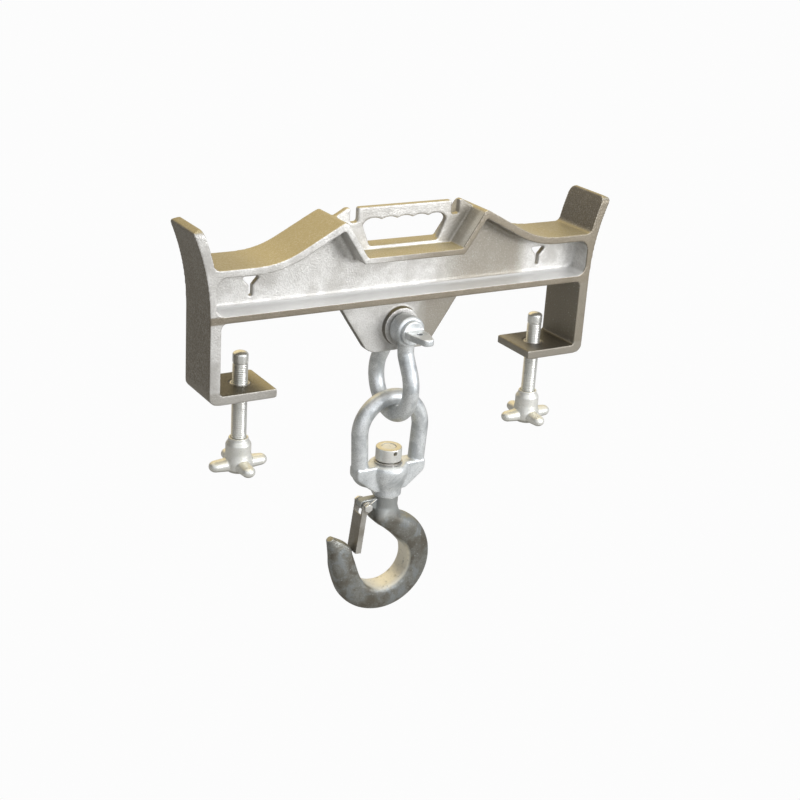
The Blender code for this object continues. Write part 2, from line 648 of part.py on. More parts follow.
def make_prongs(place, heading):
    """Two opposite prongs as one flattened bar with round ends, lying along its heading."""
    radius = PRONG_WIDTH / 2
    straight = KNOB_RADIUS - radius
    profile = arc((0, straight), radius, math.pi / 2, 0) + arc((0, -straight), radius, 0, -math.pi / 2)
    prongs = turned("prongs", profile, steps=ROUND_SIDES // 2)
    flatten = Matrix.Diagonal((PRONG_THICKNESS / PRONG_WIDTH, 1, 1, 1))
    lay = Matrix.Rotation(heading, 4, "Z") @ Matrix.Rotation(math.radians(90), 4, "Y")
    prongs.matrix_world = Matrix.Translation(place) @ lay @ flatten
    return prongs


def make_knob(side, name):
    """Four-prong star knob with a long hub, bored to take the end of the screw."""
    place = (side * SCREW_X, 0, 0)
    shoulder = HUB_TOP - KNOB_HUB_CHAMFER
    flare = (KNOB_HUB_RADIUS - KNOB_HUB_TOP_RADIUS) / 2
    profile = [(0, HUB_TOP), (KNOB_HUB_TOP_RADIUS, HUB_TOP)]
    profile += [(KNOB_HUB_TOP_RADIUS, HUB_TOP - KNOB_HUB_CHAMFER / 3)]
    profile += [(KNOB_HUB_TOP_RADIUS + flare, shoulder + flare), (KNOB_HUB_RADIUS, shoulder)]
    profile += [(KNOB_HUB_RADIUS, HUB_BOTTOM + 2 * PRONG_UNDERCUT), (KNOB_HUB_TOP_RADIUS, HUB_BOTTOM)]
    profile += [(0, HUB_BOTTOM)]
    knob = turned(name, profile, place)
    middle = (place[0], 0, HUB_BOTTOM + PRONG_UNDERCUT + PRONG_THICKNESS / 2)
    join(knob, make_prongs(middle, 0), make_prongs(middle, math.radians(90)))
    bore_end = (place[0], 0, HUB_BOTTOM + KNOB_BLIND)
    bore = rod("hub_bore", SCREW_RADIUS + FIT_GAP, bore_end, (place[0], 0, HUB_TOP + OVERCUT))
    cut(knob, bore, pin_bore(side, "hub_cross_hole"))
    return keep(knob, ZINC)


def make_knob_pin(side, name):
    place = (side * SCREW_X, HUB_TOP - KNOB_PIN_DEPTH)
    return keep(crosswise(name, KNOB_PIN_RADIUS, KNOB_HUB_RADIUS - FIT_GAP, place, SMALL_SIDES), PLAIN_STEEL)


# ---------------------------------------------------------------- bow shackle


def bow_path():
    """Centre line of the bow in the Y, Z plane: a wide round bow whose legs draw in to the ears."""
    swing = arc((0, BOW_Z), BOW_RADIUS, BOW_LEG_ANGLE, -math.pi - BOW_LEG_ANGLE)
    leave = swing[0]
    # The straight leg is tangent to the bow and runs until it is over the ear's middle.
    knee = leave[1] + (leave[0] - EAR_Y) / math.tan(BOW_LEG_ANGLE)
    top = PIN_Z - EAR_RADIUS / 2
    draw_in = rounded([(EAR_Y, top, 0), (EAR_Y, knee, EAR_RADIUS), (*leave, 0)])[:-1]
    right = draw_in + swing
    left = [(-u, v) for u, v in reversed(draw_in)]
    return [(0, u, v) for u, v in right + left]


def make_bow():
    bow = bar("shackle_bow", bow_path(), BOW_BAR_RADIUS)
    for side in (-1, 1):
        near = (0, side * EAR_INNER_Y, PIN_Z)
        far = (0, side * EAR_OUTER_Y, PIN_Z)
        join(bow, round_edges(rod("ear", EAR_RADIUS, near, far), EAR_THICKNESS / 10))
    # The legs' bars swell into the gap for the lug, so it is cleared again.
    cut(bow, crosswise("lug_gap", EAR_RADIUS + BOW_BAR_RADIUS, EAR_INNER_Y - FIT_GAP / 3, (0, PIN_Z)))
    cut(bow, crosswise("ear_bores", PIN_RADIUS + FIT_GAP, EAR_OUTER_Y + OVERCUT, (0, PIN_Z)))
    return keep(bow, GALVANISED)


def make_shackle_pin():
    """Screw pin: a round collar against the front ear, and a flat eye to turn it by."""
    collar_back = -EAR_OUTER_Y - FIT_GAP
    collar_front = collar_back - PIN_COLLAR_LENGTH
    tail = EAR_OUTER_Y + PIN_TAIL
    pin = rod("shackle_pin", PIN_RADIUS, (0, (collar_front + collar_back) / 2, PIN_Z), (0, tail, PIN_Z))
    round_edges(pin, PIN_RADIUS / 10)
    collar = rod("collar", PIN_COLLAR_RADIUS, (0, collar_front, PIN_Z), (0, collar_back, PIN_Z))
    round_edges(collar, PIN_COLLAR_CHAMFER)
    eye_tip = collar_front - PIN_EYE_LENGTH
    root = collar_front + PIN_COLLAR_LENGTH / 2
    shoulder = collar_front - PIN_EYE_ROOT / 2
    half_root = PIN_EYE_ROOT / 2
    half_tip = PIN_EYE_TIP / 2
    corners = [(half_root, root, 0), (-half_root, root, 0), (-half_root, shoulder, half_root)]
    corners += [(-half_tip, eye_tip, half_tip * 0.95), (half_tip, eye_tip, half_tip * 0.95)]
    corners += [(half_root, shoulder, half_root)]
    eye = plate("pin_eye", [rounded(corners)], PIN_EYE_THICKNESS, Matrix.Identity(4), (0, 0, PIN_Z))
    round_edges(eye, PIN_EYE_THICKNESS / 4)
    hole = rod("eye_hole", PIN_EYE_HOLE, (0, shoulder, PIN_Z - PIN_RADIUS), (0, shoulder, PIN_Z + PIN_RADIUS))
    return keep(cut(join(pin, collar, eye), hole), GALVANISED)


# ---------------------------------------------------------------- swivel bail, washer and nut


def make_bail():
    """Forged eye: a round crown through the shackle, two legs, and a bored boss for the hook's shank."""
    centre = (0, CROWN_Z - BAIL_RADIUS)
    bend = centre[1] - BAIL_LEG_LENGTH
    foot = (BOSS_FOOT_RADIUS - BAIL_BAR_RADIUS / 2, BOSS_BOTTOM + (SEAT_Z - BOSS_BOTTOM) * 0.4)
    crown = arc(centre, BAIL_RADIUS, 0, math.pi)
    leg = rounded([(*foot, 0), (BAIL_FOOT_REACH, bend, BAIL_BEND_RADIUS), (*crown[0], 0)])[:-1]
    path = leg + crown + [(-u, v) for u, v in reversed(leg)]
    bail = bar("swivel_bail", [(u, 0, v) for u, v in path], BAIL_BAR_RADIUS)
    swell = BOSS_RADIUS - BOSS_SEAT_RADIUS
    profile = [(0, SEAT_Z), (BOSS_SEAT_RADIUS, SEAT_Z), (BOSS_RADIUS - swell / 4, SEAT_Z - swell)]
    profile += [(BOSS_RADIUS, SEAT_Z - 2.5 * swell), (BOSS_RADIUS - swell / 4, SEAT_Z - 5 * swell)]
    profile += [(BOSS_SEAT_RADIUS, SEAT_Z - 7 * swell), (BOSS_FOOT_RADIUS, SEAT_Z - 9 * swell)]
    profile += [(BOSS_FOOT_RADIUS, BOSS_BOTTOM), (0, BOSS_BOTTOM)]
    corner = SEAT_Z - ARM_HEIGHT
    half = [(0, corner - ARM_SLOPE_DROP, 0), (BOSS_SEAT_RADIUS, corner - ARM_SLOPE_DROP, 0)]
    half += [(ARM_REACH, corner, BAIL_BAR_RADIUS), (ARM_REACH, SEAT_Z, ARM_EDGE_RADIUS), (0, SEAT_Z, 0)]
    arms = round_edges(plate("arms", [mirrored(rounded(half))], ARM_THICKNESS), ARM_EDGE_RADIUS)
    join(bail, arms, turned("boss", profile))
    above = rod("seat_facing", BOSS_SEAT_RADIUS - SHANK_RADIUS / 5, (0, 0, SEAT_Z), (0, 0, NUT_TOP))
    bore = rod("boss_bore", SHANK_RADIUS + FIT_GAP, (0, 0, BOSS_BOTTOM - OVERCUT), (0, 0, NUT_TOP))
    cut(bail, above, bore)
    return keep(bail, GALVANISED)


def make_washer():
    top = WASHER_BOTTOM + WASHER_THICKNESS
    bore = SHANK_RADIUS + FIT_GAP
    ring = [(bore, top), (WASHER_RADIUS, top), (WASHER_RADIUS, WASHER_BOTTOM), (bore, WASHER_BOTTOM)]
    return keep(turned("thrust_washer", ring), PLAIN_STEEL)


def nut_pin_hole(name):
    place = (0, NUT_TOP - NUT_PIN_DEPTH)
    return crosswise(name, NUT_PIN_RADIUS + FIT_GAP, NUT_RADIUS + OVERCUT, place, SMALL_SIDES)


def make_nut():
    """Round button nut on the end of the hook's shank."""
    bore = SHANK_RADIUS + FIT_GAP
    profile = [(bore, NUT_TOP), (NUT_RADIUS - NUT_CHAMFER, NUT_TOP), (NUT_RADIUS, NUT_TOP - NUT_CHAMFER)]
    profile += [(NUT_RADIUS, NUT_BOTTOM + NUT_CHAMFER), (NUT_RADIUS - NUT_CHAMFER, NUT_BOTTOM)]
    profile += [(bore, NUT_BOTTOM)]
    return keep(cut(turned("shank_nut", profile), nut_pin_hole("nut_cross_hole")), GALVANISED)


def make_nut_pin():
    place = (0, NUT_TOP - NUT_PIN_DEPTH)
    pin = crosswise("nut_pin", NUT_PIN_RADIUS, NUT_RADIUS - NUT_PIN_RECESS, place, SMALL_SIDES)
    return keep(pin, PLAIN_STEEL)


# ---------------------------------------------------------------- hook


def bowl_point(radius, degrees):
    angle = math.radians(degrees)
    return (BOWL_X + radius * math.cos(angle), BOWL_Z + radius * math.sin(angle))


def hook_sections():
    """Sections down the neck, round the bowl and out to the tip: (outer point, inner point, half depth)."""
    low_neck = NECK_TOP - NECK_RADIUS
    sections = []
    for height in (NECK_TOP, low_neck):
        sections.append(((NECK_RADIUS, height), (-NECK_RADIUS, height), NECK_RADIUS))
    for outer_degrees, outer, inner_degrees, inner in SHOULDER:
        sections.append((bowl_point(outer, outer_degrees), bowl_point(inner, inner_degrees), HOOK_HALF_DEPTH))
    for index in range(BOWL_SECTIONS):
        degrees = BOWL_START + (BOWL_END - BOWL_START) * index / (BOWL_SECTIONS - 1)
        thin = max(0.0, (BOWL_THIN - degrees) / (BOWL_THIN - BOWL_END))
        outer = HOOK_RADIUS + thin * THIN_OUTSIDE
        inner = BOWL_RADIUS + thin * THIN_INSIDE
        depth = HOOK_HALF_DEPTH - thin * (HOOK_HALF_DEPTH - TIP_HALF_DEPTH) / 3
        sections.append((bowl_point(outer, degrees), bowl_point(inner, degrees), depth))
    for outer_degrees, outer, inner_degrees, inner, depth in TIP:
        sections.append((bowl_point(outer, outer_degrees), bowl_point(inner, inner_degrees), depth))
    return sections


def signed_power(value, power):
    return math.copysign(abs(value) ** power, value)


def lofted_hook():
    """The hook's body: full oval sections, one to the next, closed at the neck and the tip."""
    shape = bmesh.new()
    rings = []
    for outer, inner, depth in hook_sections():
        middle = (Vector(outer) + Vector(inner)) / 2
        reach = (Vector(outer) - Vector(inner)) / 2
        ring = []
        for side in range(HOOK_SIDES):
            angle = 2 * math.pi * side / HOOK_SIDES
            squareness = OUTER_SQUARENESS if math.cos(angle) > 0 else INNER_SQUARENESS
            power = 1 if len(rings) < 2 else 2 / squareness
            point = middle + reach * signed_power(math.cos(angle), power)
            ring.append(shape.verts.new((point.x, depth * signed_power(math.sin(angle), power), point.y)))
        rings.append(ring)
    for above, below in zip(rings, rings[1:]):
        for side in range(HOOK_SIDES):
            after = (side + 1) % HOOK_SIDES
            shape.faces.new((above[side], above[after], below[after], below[side]))
    shape.faces.new(list(reversed(rings[0])))
    shape.faces.new(rings[-1])
    bmesh.ops.recalc_face_normals(shape, faces=shape.faces)
    mesh = bpy.data.meshes.new("hook")
    shape.to_mesh(mesh)
    shape.free()
    hook = bpy.data.objects.new("hook", mesh)
    bpy.context.scene.collection.objects.link(hook)
    return hook


def make_hook():
    """Forged hook with its shank, and an ear on its neck for the latch."""
    shank = rod("shank", SHANK_RADIUS, (0, 0, NECK_TOP - NECK_RADIUS / 2), (0, 0, NUT_TOP - FIT_GAP))
    ear_back = LATCH_WIDTH / 2 - LATCH_SHEET - FIT_GAP
    buried = -NECK_RADIUS / 2
    outline = arc((PIVOT_X, PIVOT_Z), LATCH_EAR_RADIUS, math.pi / 2, 3 * math.pi / 2)
    outline += [(buried, PIVOT_Z - LATCH_EAR_RADIUS * 1.5), (buried, PIVOT_Z + LATCH_EAR_RADIUS)]
    middle = (ear_back + LATCH_EAR_FRONT) / 2
    ear = plate("latch_ear", [outline], ear_back - LATCH_EAR_FRONT, place=(0, middle, 0))
    hook = join(lofted_hook(), shank, ear)
    hole = crosswise("pivot_hole", BOLT_RADIUS + FIT_GAP, LATCH_WIDTH, (PIVOT_X, PIVOT_Z))
    return keep(cut(hook, hole, nut_pin_hole("shank_cross_hole")), FORGED)


# ---------------------------------------------------------------- safety latch


def latch_outline():
    """Side view of the latch, drawn with its pivot at 0, 0 and its lower end down."""
    outer = -LATCH_EYE_RADIUS
    outline = arc((0, 0), LATCH_EYE_RADIUS, 0, math.pi)
    outline += [(outer, -LATCH_LENGTH), (outer + LATCH_END_CHEEK, -LATCH_LENGTH)]
    return outline + [(outer + LATCH_CHEEK, -LATCH_EYE_RADIUS * 1.5)]


def latch_inside_outline():
    """The space inside the latch: open at the top, at the lower end and towards the throat."""
    web = -LATCH_EYE_RADIUS + LATCH_SHEET
    start = -LATCH_EYE_RADIUS * 1.6
    low = -LATCH_LENGTH - OVERCUT
    high = LATCH_EYE_RADIUS + OVERCUT
    clear = LATCH_EYE_RADIUS + OVERCUT
    return [(web, start), (web, low), (clear, low), (clear, high), (-clear, high), (-clear, start)]


def make_latch():
    """Latch pressed from sheet: a channel open towards the throat, hung on the bolt."""
    swing = Matrix.Translation((PIVOT_X, 0, PIVOT_Z)) @ Matrix.Rotation(LATCH_LEAN, 4, "Y") @ ALONG_Y
    latch = plate("hook_latch", [latch_outline()], LATCH_WIDTH, swing)
    cut(latch, plate("latch_inside", [latch_inside_outline()], LATCH_WIDTH - 2 * LATCH_SHEET, swing))
    cut(latch, crosswise("latch_holes", BOLT_RADIUS + FIT_GAP, LATCH_WIDTH, (PIVOT_X, PIVOT_Z)))
    return keep(latch, ZINC)


def make_bolt_and_nut():
    """The latch's bolt, its six-sided head to the front, and its nut at the back."""
    outside = LATCH_WIDTH / 2 + FIT_GAP
    head_front = -outside - BOLT_HEAD_HEIGHT
    nut_back = outside + BOLT_HEAD_HEIGHT
    under_head = (PIVOT_X, -outside, PIVOT_Z)
    inside_head = (PIVOT_X, -outside - BOLT_HEAD_HEIGHT / 4, PIVOT_Z)
    bolt = rod("latch_bolt", BOLT_HEAD_RADIUS, (PIVOT_X, head_front, PIVOT_Z), under_head, 6)
    join(bolt, rod("bolt_shank", BOLT_RADIUS, inside_head, (PIVOT_X, nut_back + BOLT_TAIL, PIVOT_Z)))
    nut = rod("latch_nut", BOLT_HEAD_RADIUS, (PIVOT_X, outside, PIVOT_Z), (PIVOT_X, nut_back, PIVOT_Z), 6)
    cut(nut, crosswise("nut_bore", BOLT_RADIUS + FIT_GAP, nut_back + OVERCUT, (PIVOT_X, PIVOT_Z)))
    return keep(bolt, ZINC), keep(nut, ZINC)


def make_spring():
    """Torsion spring round the bolt: one leg on the hook's neck, one down inside the latch."""
    front = -LATCH_WIDTH / 2 + LATCH_SHEET + SPRING_WIRE_RADIUS + FIT_GAP
    start = math.radians(20)
    coil = []
    for index in range(int(SPRING_SIDES * SPRING_TURNS) + 1):
        turn = index / SPRING_SIDES
        angle = start - 2 * math.pi * turn
        coil.append((PIVOT_X + SPRING_RADIUS * math.cos(angle), front + SPRING_PITCH * turn,
                     PIVOT_Z + SPRING_RADIUS * math.sin(angle)))
    neck_leg = (-NECK_RADIUS - SPRING_WIRE_RADIUS * 3, front, NECK_TOP - SPRING_WIRE_RADIUS * 3)
    down = Vector((-math.sin(LATCH_LEAN), 0, -math.cos(LATCH_LEAN))) * SPRING_LATCH_LEG
    latch_leg = Vector(coil[-1]) + down
    wire = bar("latch_spring", [neck_leg] + coil + [tuple(latch_leg)], SPRING_WIRE_RADIUS, 1)
    return keep(wire, SPRING_STEEL, 60)


# ---------------------------------------------------------------- build


def carry(name, place, pieces):
    """An empty on a joint's axis, the parent of all that moves on it. Nothing changes place."""
    empty = bpy.data.objects.new(name, None)
    empty.location = place
    empty.empty_display_size = SCREW_RADIUS
    parts.objects.link(empty)
    for piece in pieces:
        piece.parent = empty
        piece.matrix_parent_inverse = Matrix.Translation(place).inverted()
    return empty


on_beam = [make_casting()]
for side_sign, side_name in ((-1, "left"), (1, "right")):
    axis = (side_sign * SCREW_X, 0, FOOT_TOP)
    turning = [
        make_screw(side_sign, side_name + "_clamp_screw"),
        make_knob(side_sign, side_name + "_star_knob"),
        make_knob_pin(side_sign, side_name + "_knob_pin"),
    ]
    turn_axis = carry(side_name + "_turn_axis", axis, turning)
    cap = make_cap(side_sign, side_name + "_screw_cap")
    feed_axis = carry(side_name + "_feed_axis", axis, [cap, turn_axis])
    on_beam += [make_insert(side_sign, side_name + "_thread_insert"), feed_axis]

latch_axis = carry("latch_axis", (PIVOT_X, 0, PIVOT_Z), [make_latch(), make_spring()])
on_hook = [make_hook(), make_nut(), make_nut_pin(), *make_bolt_and_nut(), latch_axis]
hook_axis = carry("hook_axis", (0, 0, SEAT_Z), on_hook)
bail_axis = carry("bail_axis", (0, 0, CROWN_Z), [make_bail(), make_washer(), hook_axis])
pin_axis = carry("pin_axis", (0, 0, PIN_Z), [make_bow(), make_shackle_pin(), bail_axis])
carry("beam_frame", (0, 0, 0), on_beam + [pin_axis])
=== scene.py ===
"""A beam clamp for lifting: cast beam with two jaws, clamp screws, bow shackle and swivel hook.

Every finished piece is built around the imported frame, in the order in which the clamp is put together.
"""

import math

import bmesh
import bpy
from mathutils import Matrix, Vector


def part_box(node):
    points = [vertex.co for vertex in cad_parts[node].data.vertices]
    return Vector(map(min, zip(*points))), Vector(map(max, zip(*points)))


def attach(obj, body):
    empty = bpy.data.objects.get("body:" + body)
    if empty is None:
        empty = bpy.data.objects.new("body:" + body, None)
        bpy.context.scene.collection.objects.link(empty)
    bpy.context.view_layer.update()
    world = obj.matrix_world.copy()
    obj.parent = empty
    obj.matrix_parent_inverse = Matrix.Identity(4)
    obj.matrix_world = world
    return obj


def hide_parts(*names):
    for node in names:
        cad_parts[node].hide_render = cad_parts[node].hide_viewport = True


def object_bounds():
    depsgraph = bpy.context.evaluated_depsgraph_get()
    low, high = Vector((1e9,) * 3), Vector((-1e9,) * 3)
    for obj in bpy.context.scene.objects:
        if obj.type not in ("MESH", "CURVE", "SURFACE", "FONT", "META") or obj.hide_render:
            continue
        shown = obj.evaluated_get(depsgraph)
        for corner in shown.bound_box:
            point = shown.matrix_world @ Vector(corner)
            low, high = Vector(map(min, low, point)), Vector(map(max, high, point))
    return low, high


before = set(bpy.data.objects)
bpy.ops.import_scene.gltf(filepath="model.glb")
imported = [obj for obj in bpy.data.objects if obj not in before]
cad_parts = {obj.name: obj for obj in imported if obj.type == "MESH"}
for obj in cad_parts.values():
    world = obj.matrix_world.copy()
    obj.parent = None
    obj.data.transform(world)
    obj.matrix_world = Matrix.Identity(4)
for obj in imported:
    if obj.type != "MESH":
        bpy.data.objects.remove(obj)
cad_box = [list(corner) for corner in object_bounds()]

# ---------------------------------------------------------------- studio
# A pale floor far below the hanging clamp, soft light from a wide lamp in front, one overhead and a warm
# card behind, and a long lens looking down on the clamp from its left.

scene = bpy.context.scene
scene.view_settings.view_transform = "Standard"
FLOOR_DROP = 1.0                       # floor under the lowest point of the clamp
FLOOR_WHITE = 0.975                    # as bright as the floor and the room look to the lens


def add(tree, kind, inputs=None, **settings):
    """A shader node with its settings; each input is a value or another node's output."""
    made = tree.nodes.new("ShaderNode" + kind)
    for name, value in settings.items():
        setattr(made, name, value)
    for socket, value in (inputs or {}).items():
        if isinstance(value, bpy.types.NodeSocket):
            tree.links.new(value, made.inputs[socket])
        else:
            made.inputs[socket].default_value = value
    return made


def span(tree, value, start, full):
    """A share that rises smoothly from 0 at start to 1 at full."""
    share = add(tree, "MapRange", {"Value": value, "From Min": start, "From Max": full},
                interpolation_type="SMOOTHSTEP")
    return share.outputs[0]


def times(tree, first, second):
    return add(tree, "Math", {0: first, 1: second}, operation="MULTIPLY", use_clamp=True).outputs[0]


def blend(tree, share, first, second):
    """One colour laid over another by a share from 0 to 1."""
    mix = tree.nodes.new("ShaderNodeMix")
    mix.data_type = "RGBA"
    for index, value in ((0, share), (6, first), (7, second)):
        if isinstance(value, bpy.types.NodeSocket):
            tree.links.new(value, mix.inputs[index])
        elif index == 0:
            mix.inputs[0].default_value = value
        else:
            mix.inputs[index].default_value = (*value, 1.0)
    return mix.outputs[2]


def make_floor():
    shape = bmesh.new()
    bmesh.ops.create_grid(shape, x_segments=4, y_segments=4, size=60)
    bmesh.ops.translate(shape, verts=shape.verts, vec=(0, 0, cad_box[0][2] - FLOOR_DROP))
    mesh = bpy.data.meshes.new("studio_floor")
    shape.to_mesh(mesh)
    shape.free()
    floor = bpy.data.objects.new("studio_floor", mesh)
    scene.collection.objects.link(floor)
    paint = bpy.data.materials.new("pale_floor")
    paint.use_nodes = True
    tree = paint.node_tree
    tree.nodes.clear()
    seen = add(tree, "Emission", {"Color": (1.0, 1.0, 1.0, 1.0), "Strength": FLOOR_WHITE})
    bounce = add(tree, "BsdfDiffuse", {"Color": (0.42, 0.42, 0.42, 1.0)})
    path = add(tree, "LightPath")
    mix = add(tree, "MixShader",
              {0: path.outputs["Is Camera Ray"], 1: bounce.outputs[0], 2: seen.outputs[0]})
    add(tree, "OutputMaterial", {"Surface": mix.outputs[0]})
    mesh.materials.append(paint)


def make_room():
    """Soft room light: bright overhead and in front, dim to the left, a warm card behind."""
    room = bpy.data.worlds.new("studio_room")
    room.use_nodes = True
    tree = room.node_tree
    tree.nodes.clear()
    heading = add(tree, "TexCoord").outputs["Generated"]
    colour = (0.52, 0.53, 0.55)
    front = ((-0.1, -1, 0.15), 0.1, 1.0, (1.15, 1.17, 1.20))
    dim_left = ((-1, 0.45, 0), 0.3, 0.9, (0.10, 0.095, 0.09))
    overhead = ((0, 0, 1), 0.5, 0.95, (1.30, 1.30, 1.27))
    warm_back = ((0.10, 0.79, 0.56), 0.70, 0.97, (1.30, 1.08, 0.66))
    for direction, edge, full, light in (front, dim_left, overhead, warm_back):
        toward = tuple(Vector(direction).normalized())
        along = add(tree, "VectorMath", {0: heading, 1: toward}, operation="DOT_PRODUCT")
        colour = blend(tree, span(tree, along.outputs["Value"], edge, full), colour, light)
    glow = add(tree, "Background", {"Color": colour, "Strength": 0.9})
    pale = add(tree, "Background", {"Color": (FLOOR_WHITE, FLOOR_WHITE, FLOOR_WHITE, 1), "Strength": 1.0})
    seen = add(tree, "LightPath").outputs["Is Camera Ray"]
    room_light = add(tree, "MixShader", {0: seen, 1: glow.outputs[0], 2: pale.outputs[0]})
    add(tree, "OutputWorld", {"Surface": room_light.outputs[0]})
    scene.world = room


def make_lamp(name, place, aim, size, power, colour=(1, 1, 1)):
    """A round soft lamp that looks from its place at its aim."""
    lamp = bpy.data.lights.new(name, "AREA")
    lamp.shape = "DISK"
    lamp.size = size
    lamp.energy = power
    lamp.color = colour
    holder = bpy.data.objects.new(name, lamp)
    holder.location = place
    holder.rotation_euler = (Vector(aim) - Vector(place)).to_track_quat("-Z", "Y").to_euler()
    scene.collection.objects.link(holder)


def make_camera():
    """The lens looks down on the clamp from its front left; the camera leans a little to one side."""
    azimuth, elevation, lean = math.radians(-32.03), math.radians(21.43), math.radians(3.85)
    aim, distance = Vector((0.0126, 0.0, -0.1517)), 1.9656
    lens = bpy.data.cameras.new("studio_camera")
    lens.sensor_width = 36
    lens.lens = 65.7
    lens.clip_end = 100
    turn = Matrix.Rotation(azimuth, 4, "Z") @ Matrix.Rotation(math.pi / 2 - elevation, 4, "X")
    turn = turn @ Matrix.Rotation(lean, 4, "Z")
    camera = bpy.data.objects.new("studio_camera", lens)
    camera.matrix_world = Matrix.Translation(aim + turn.col[2].xyz * distance) @ turn
    scene.collection.objects.link(camera)
    scene.camera = camera


make_floor()
make_room()
make_lamp("front_lamp", (0.75, -1.35, 0.30), (0.10, 0, 0.0), 0.9, 16)
make_lamp("top_lamp", (0.1, 0.1, 1.5), (0, 0, 0), 1.2, 9, (1.0, 0.93, 0.8))
make_camera()

# ---------------------------------------------------------------- cast beam
# One sand casting in aluminium: a flanged beam with two jaws, a finger-grip handle and a lug under it.
# Its skin is finely grained with soft cast edges; painted warm light makes the faces that look up tan, and
# painted shade darkens the ends.

beam_low, beam_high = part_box("beam_casting")
BEAM_HALF_WIDTH = beam_high.y - 0.0002
POST_OUT, POST_IN = 0.283, 0.268
JAW_FLOOR = -0.0925
FOOT_UNDER, FOOT_TIP = beam_low.z + 0.0001, 0.191
FLARE_START, FLARE_RADIUS, FLARE_ANGLE, FLARE_WALL = 0.005, 0.275, math.radians(23.3), 0.0125
SADDLE_TOP, SADDLE_END, SADDLE_RADIUS = 0.067, 0.222, 0.125
RISE, CREST, BASIN, BASIN_REACH = math.radians(28), 0.103, 0.064, 0.070
TOP_FLANGE, BASIN_WALL, LOW_FLANGE, END_WALL = 0.010, 0.008, 0.0085, 0.008
WEB, WEB_FILLET = 0.009, 0.007
HANDLE_TOP, HANDLE_REACH, GRIP = beam_high.z - 0.0001, 0.0695, 0.018
FINGERS, FINGER_PITCH, FINGER_RISE = 5, 0.023, 0.003
EAR_SLOT, EAR_SLOT_DEPTH, EAR_REACH = 0.0115, 0.0185, 0.134
WINDOW_X = 0.2155
LUG_LOW, LUG_ROOT, LUG_FOOT, LUG_TOP, LUG_HALF = -0.076, 0.0043, 0.045, 0.0978, 0.006
BOSS_RADIUS, BOSS_HALF, LUG_BORE = 0.026, 0.0134, 0.0127
PIN_Z = -0.042
SCREW_X = 0.225
SCREW_RADIUS = 0.010
SEAT_RADIUS, FOOT_HOLE = 0.0134, 0.0107
ARC_STEP = math.radians(5)


def rounded(corners):
    """An outline through the corners (u, v, radius), each radius drawn as an arc."""
    points = []
    for index, (u, v, radius) in enumerate(corners):
        corner = Vector((u, v))
        if radius == 0:
            points.append((u, v))
            continue
        before = (Vector(corners[index - 1][:2]) - corner).normalized()
        after = (Vector(corners[(index + 1) % len(corners)][:2]) - corner).normalized()
        half = before.angle(after) / 2
        centre = corner + (before + after).normalized() * (radius / math.sin(half))
        start = corner + before * (radius / math.tan(half)) - centre
        turn = start.angle_signed(corner + after * (radius / math.tan(half)) - centre)
        steps = max(3, math.ceil(abs(turn) / ARC_STEP))
        for step in range(steps + 1):
            point = centre + Matrix.Rotation(-turn * step / steps, 2) @ start
            points.append((point.x, point.y))
    return points


def arc(centre, radius, start, end):
    steps = max(4, math.ceil(abs(end - start) / ARC_STEP * 2))
    angles = [start + (end - start) * step / steps for step in range(steps + 1)]
    return [(centre[0] + radius * math.cos(a), centre[1] + radius * math.sin(a)) for a in angles]


def sharp(points):
    return [(u, v, 0) for u, v in points]


def mirrored(half):
    return list(half) + [(-u, v) for u, v in reversed(half) if abs(u) > 1e-9]


def add_prism(shape, outline, low, high, axis="Y"):
    """A straight body with an outline drawn in X, Z, or in X, Y where it stands along Z."""
    lay = (lambda u, v, w: (u, w, v)) if axis == "Y" else (lambda u, v, w: (u, v, w))
    face = shape.faces.new([shape.verts.new(lay(u, v, low)) for u, v in outline])
    raised = bmesh.ops.extrude_face_region(shape, geom=[face])["geom"]
    along = (0, high - low, 0) if axis == "Y" else (0, 0, high - low)
    bmesh.ops.translate(shape, verts=[g for g in raised if isinstance(g, bmesh.types.BMVert)], vec=along)


def add_rod(shape, radius, start, end, sides=64, tip=None):
    """A round bar between two points, tapered where the tip's radius is given."""
    start, end = Vector(start), Vector(end)
    turn = Vector((0, 0, 1)).rotation_difference(end - start).to_matrix().to_4x4()
    bmesh.ops.create_cone(shape, cap_ends=True, segments=sides, radius1=radius,
                          radius2=radius if tip is None else tip, depth=(end - start).length,
                          matrix=Matrix.Translation((start + end) / 2) @ turn)


def add_loft(shape, outlines):
    """Skin like outlines, lists of points, one to the next, and close both ends."""
    rings = [[shape.verts.new(point) for point in outline] for outline in outlines]
    edges = [[shape.edges.new(pair) for pair in zip(ring, ring[1:] + ring[:1])] for ring in rings]
    for near, far in zip(edges, edges[1:]):
        bmesh.ops.bridge_loops(shape, edges=near + far)
    for ring in (rings[0], rings[-1]):
        shape.faces.new(ring)


def body_of(name, shape):
    """An object from a bmesh, with its faces turned outwards."""
    bmesh.ops.recalc_face_normals(shape, faces=shape.faces)
    mesh = bpy.data.meshes.new(name)
    shape.to_mesh(mesh)
    shape.free()
    made = bpy.data.objects.new(name, mesh)
    scene.collection.objects.link(made)
    return made


def rod_body(name, radius, start, end, sides=64):
    shape = bmesh.new()
    add_rod(shape, radius, start, end, sides)
    return body_of(name, shape)


def settle(piece):
    """Make a piece's modifiers part of its mesh."""
    bpy.context.view_layer.update()
    depsgraph = bpy.context.evaluated_depsgraph_get()
    mesh = bpy.data.meshes.new_from_object(piece.evaluated_get(depsgraph))
    piece.modifiers.clear()
    piece.data = mesh
    return piece


def cut(piece, *tools, operation="DIFFERENCE"):
    """Cut tools out of a piece, or keep only what lies inside them, and use the tools up."""
    for tool in tools:
        step = piece.modifiers.new("cut", "BOOLEAN")
        step.operation = operation
        step.solver = "EXACT"
        step.object = tool
    settle(piece)
    for tool in tools:
        bpy.data.objects.remove(tool, do_unlink=True)
    return piece


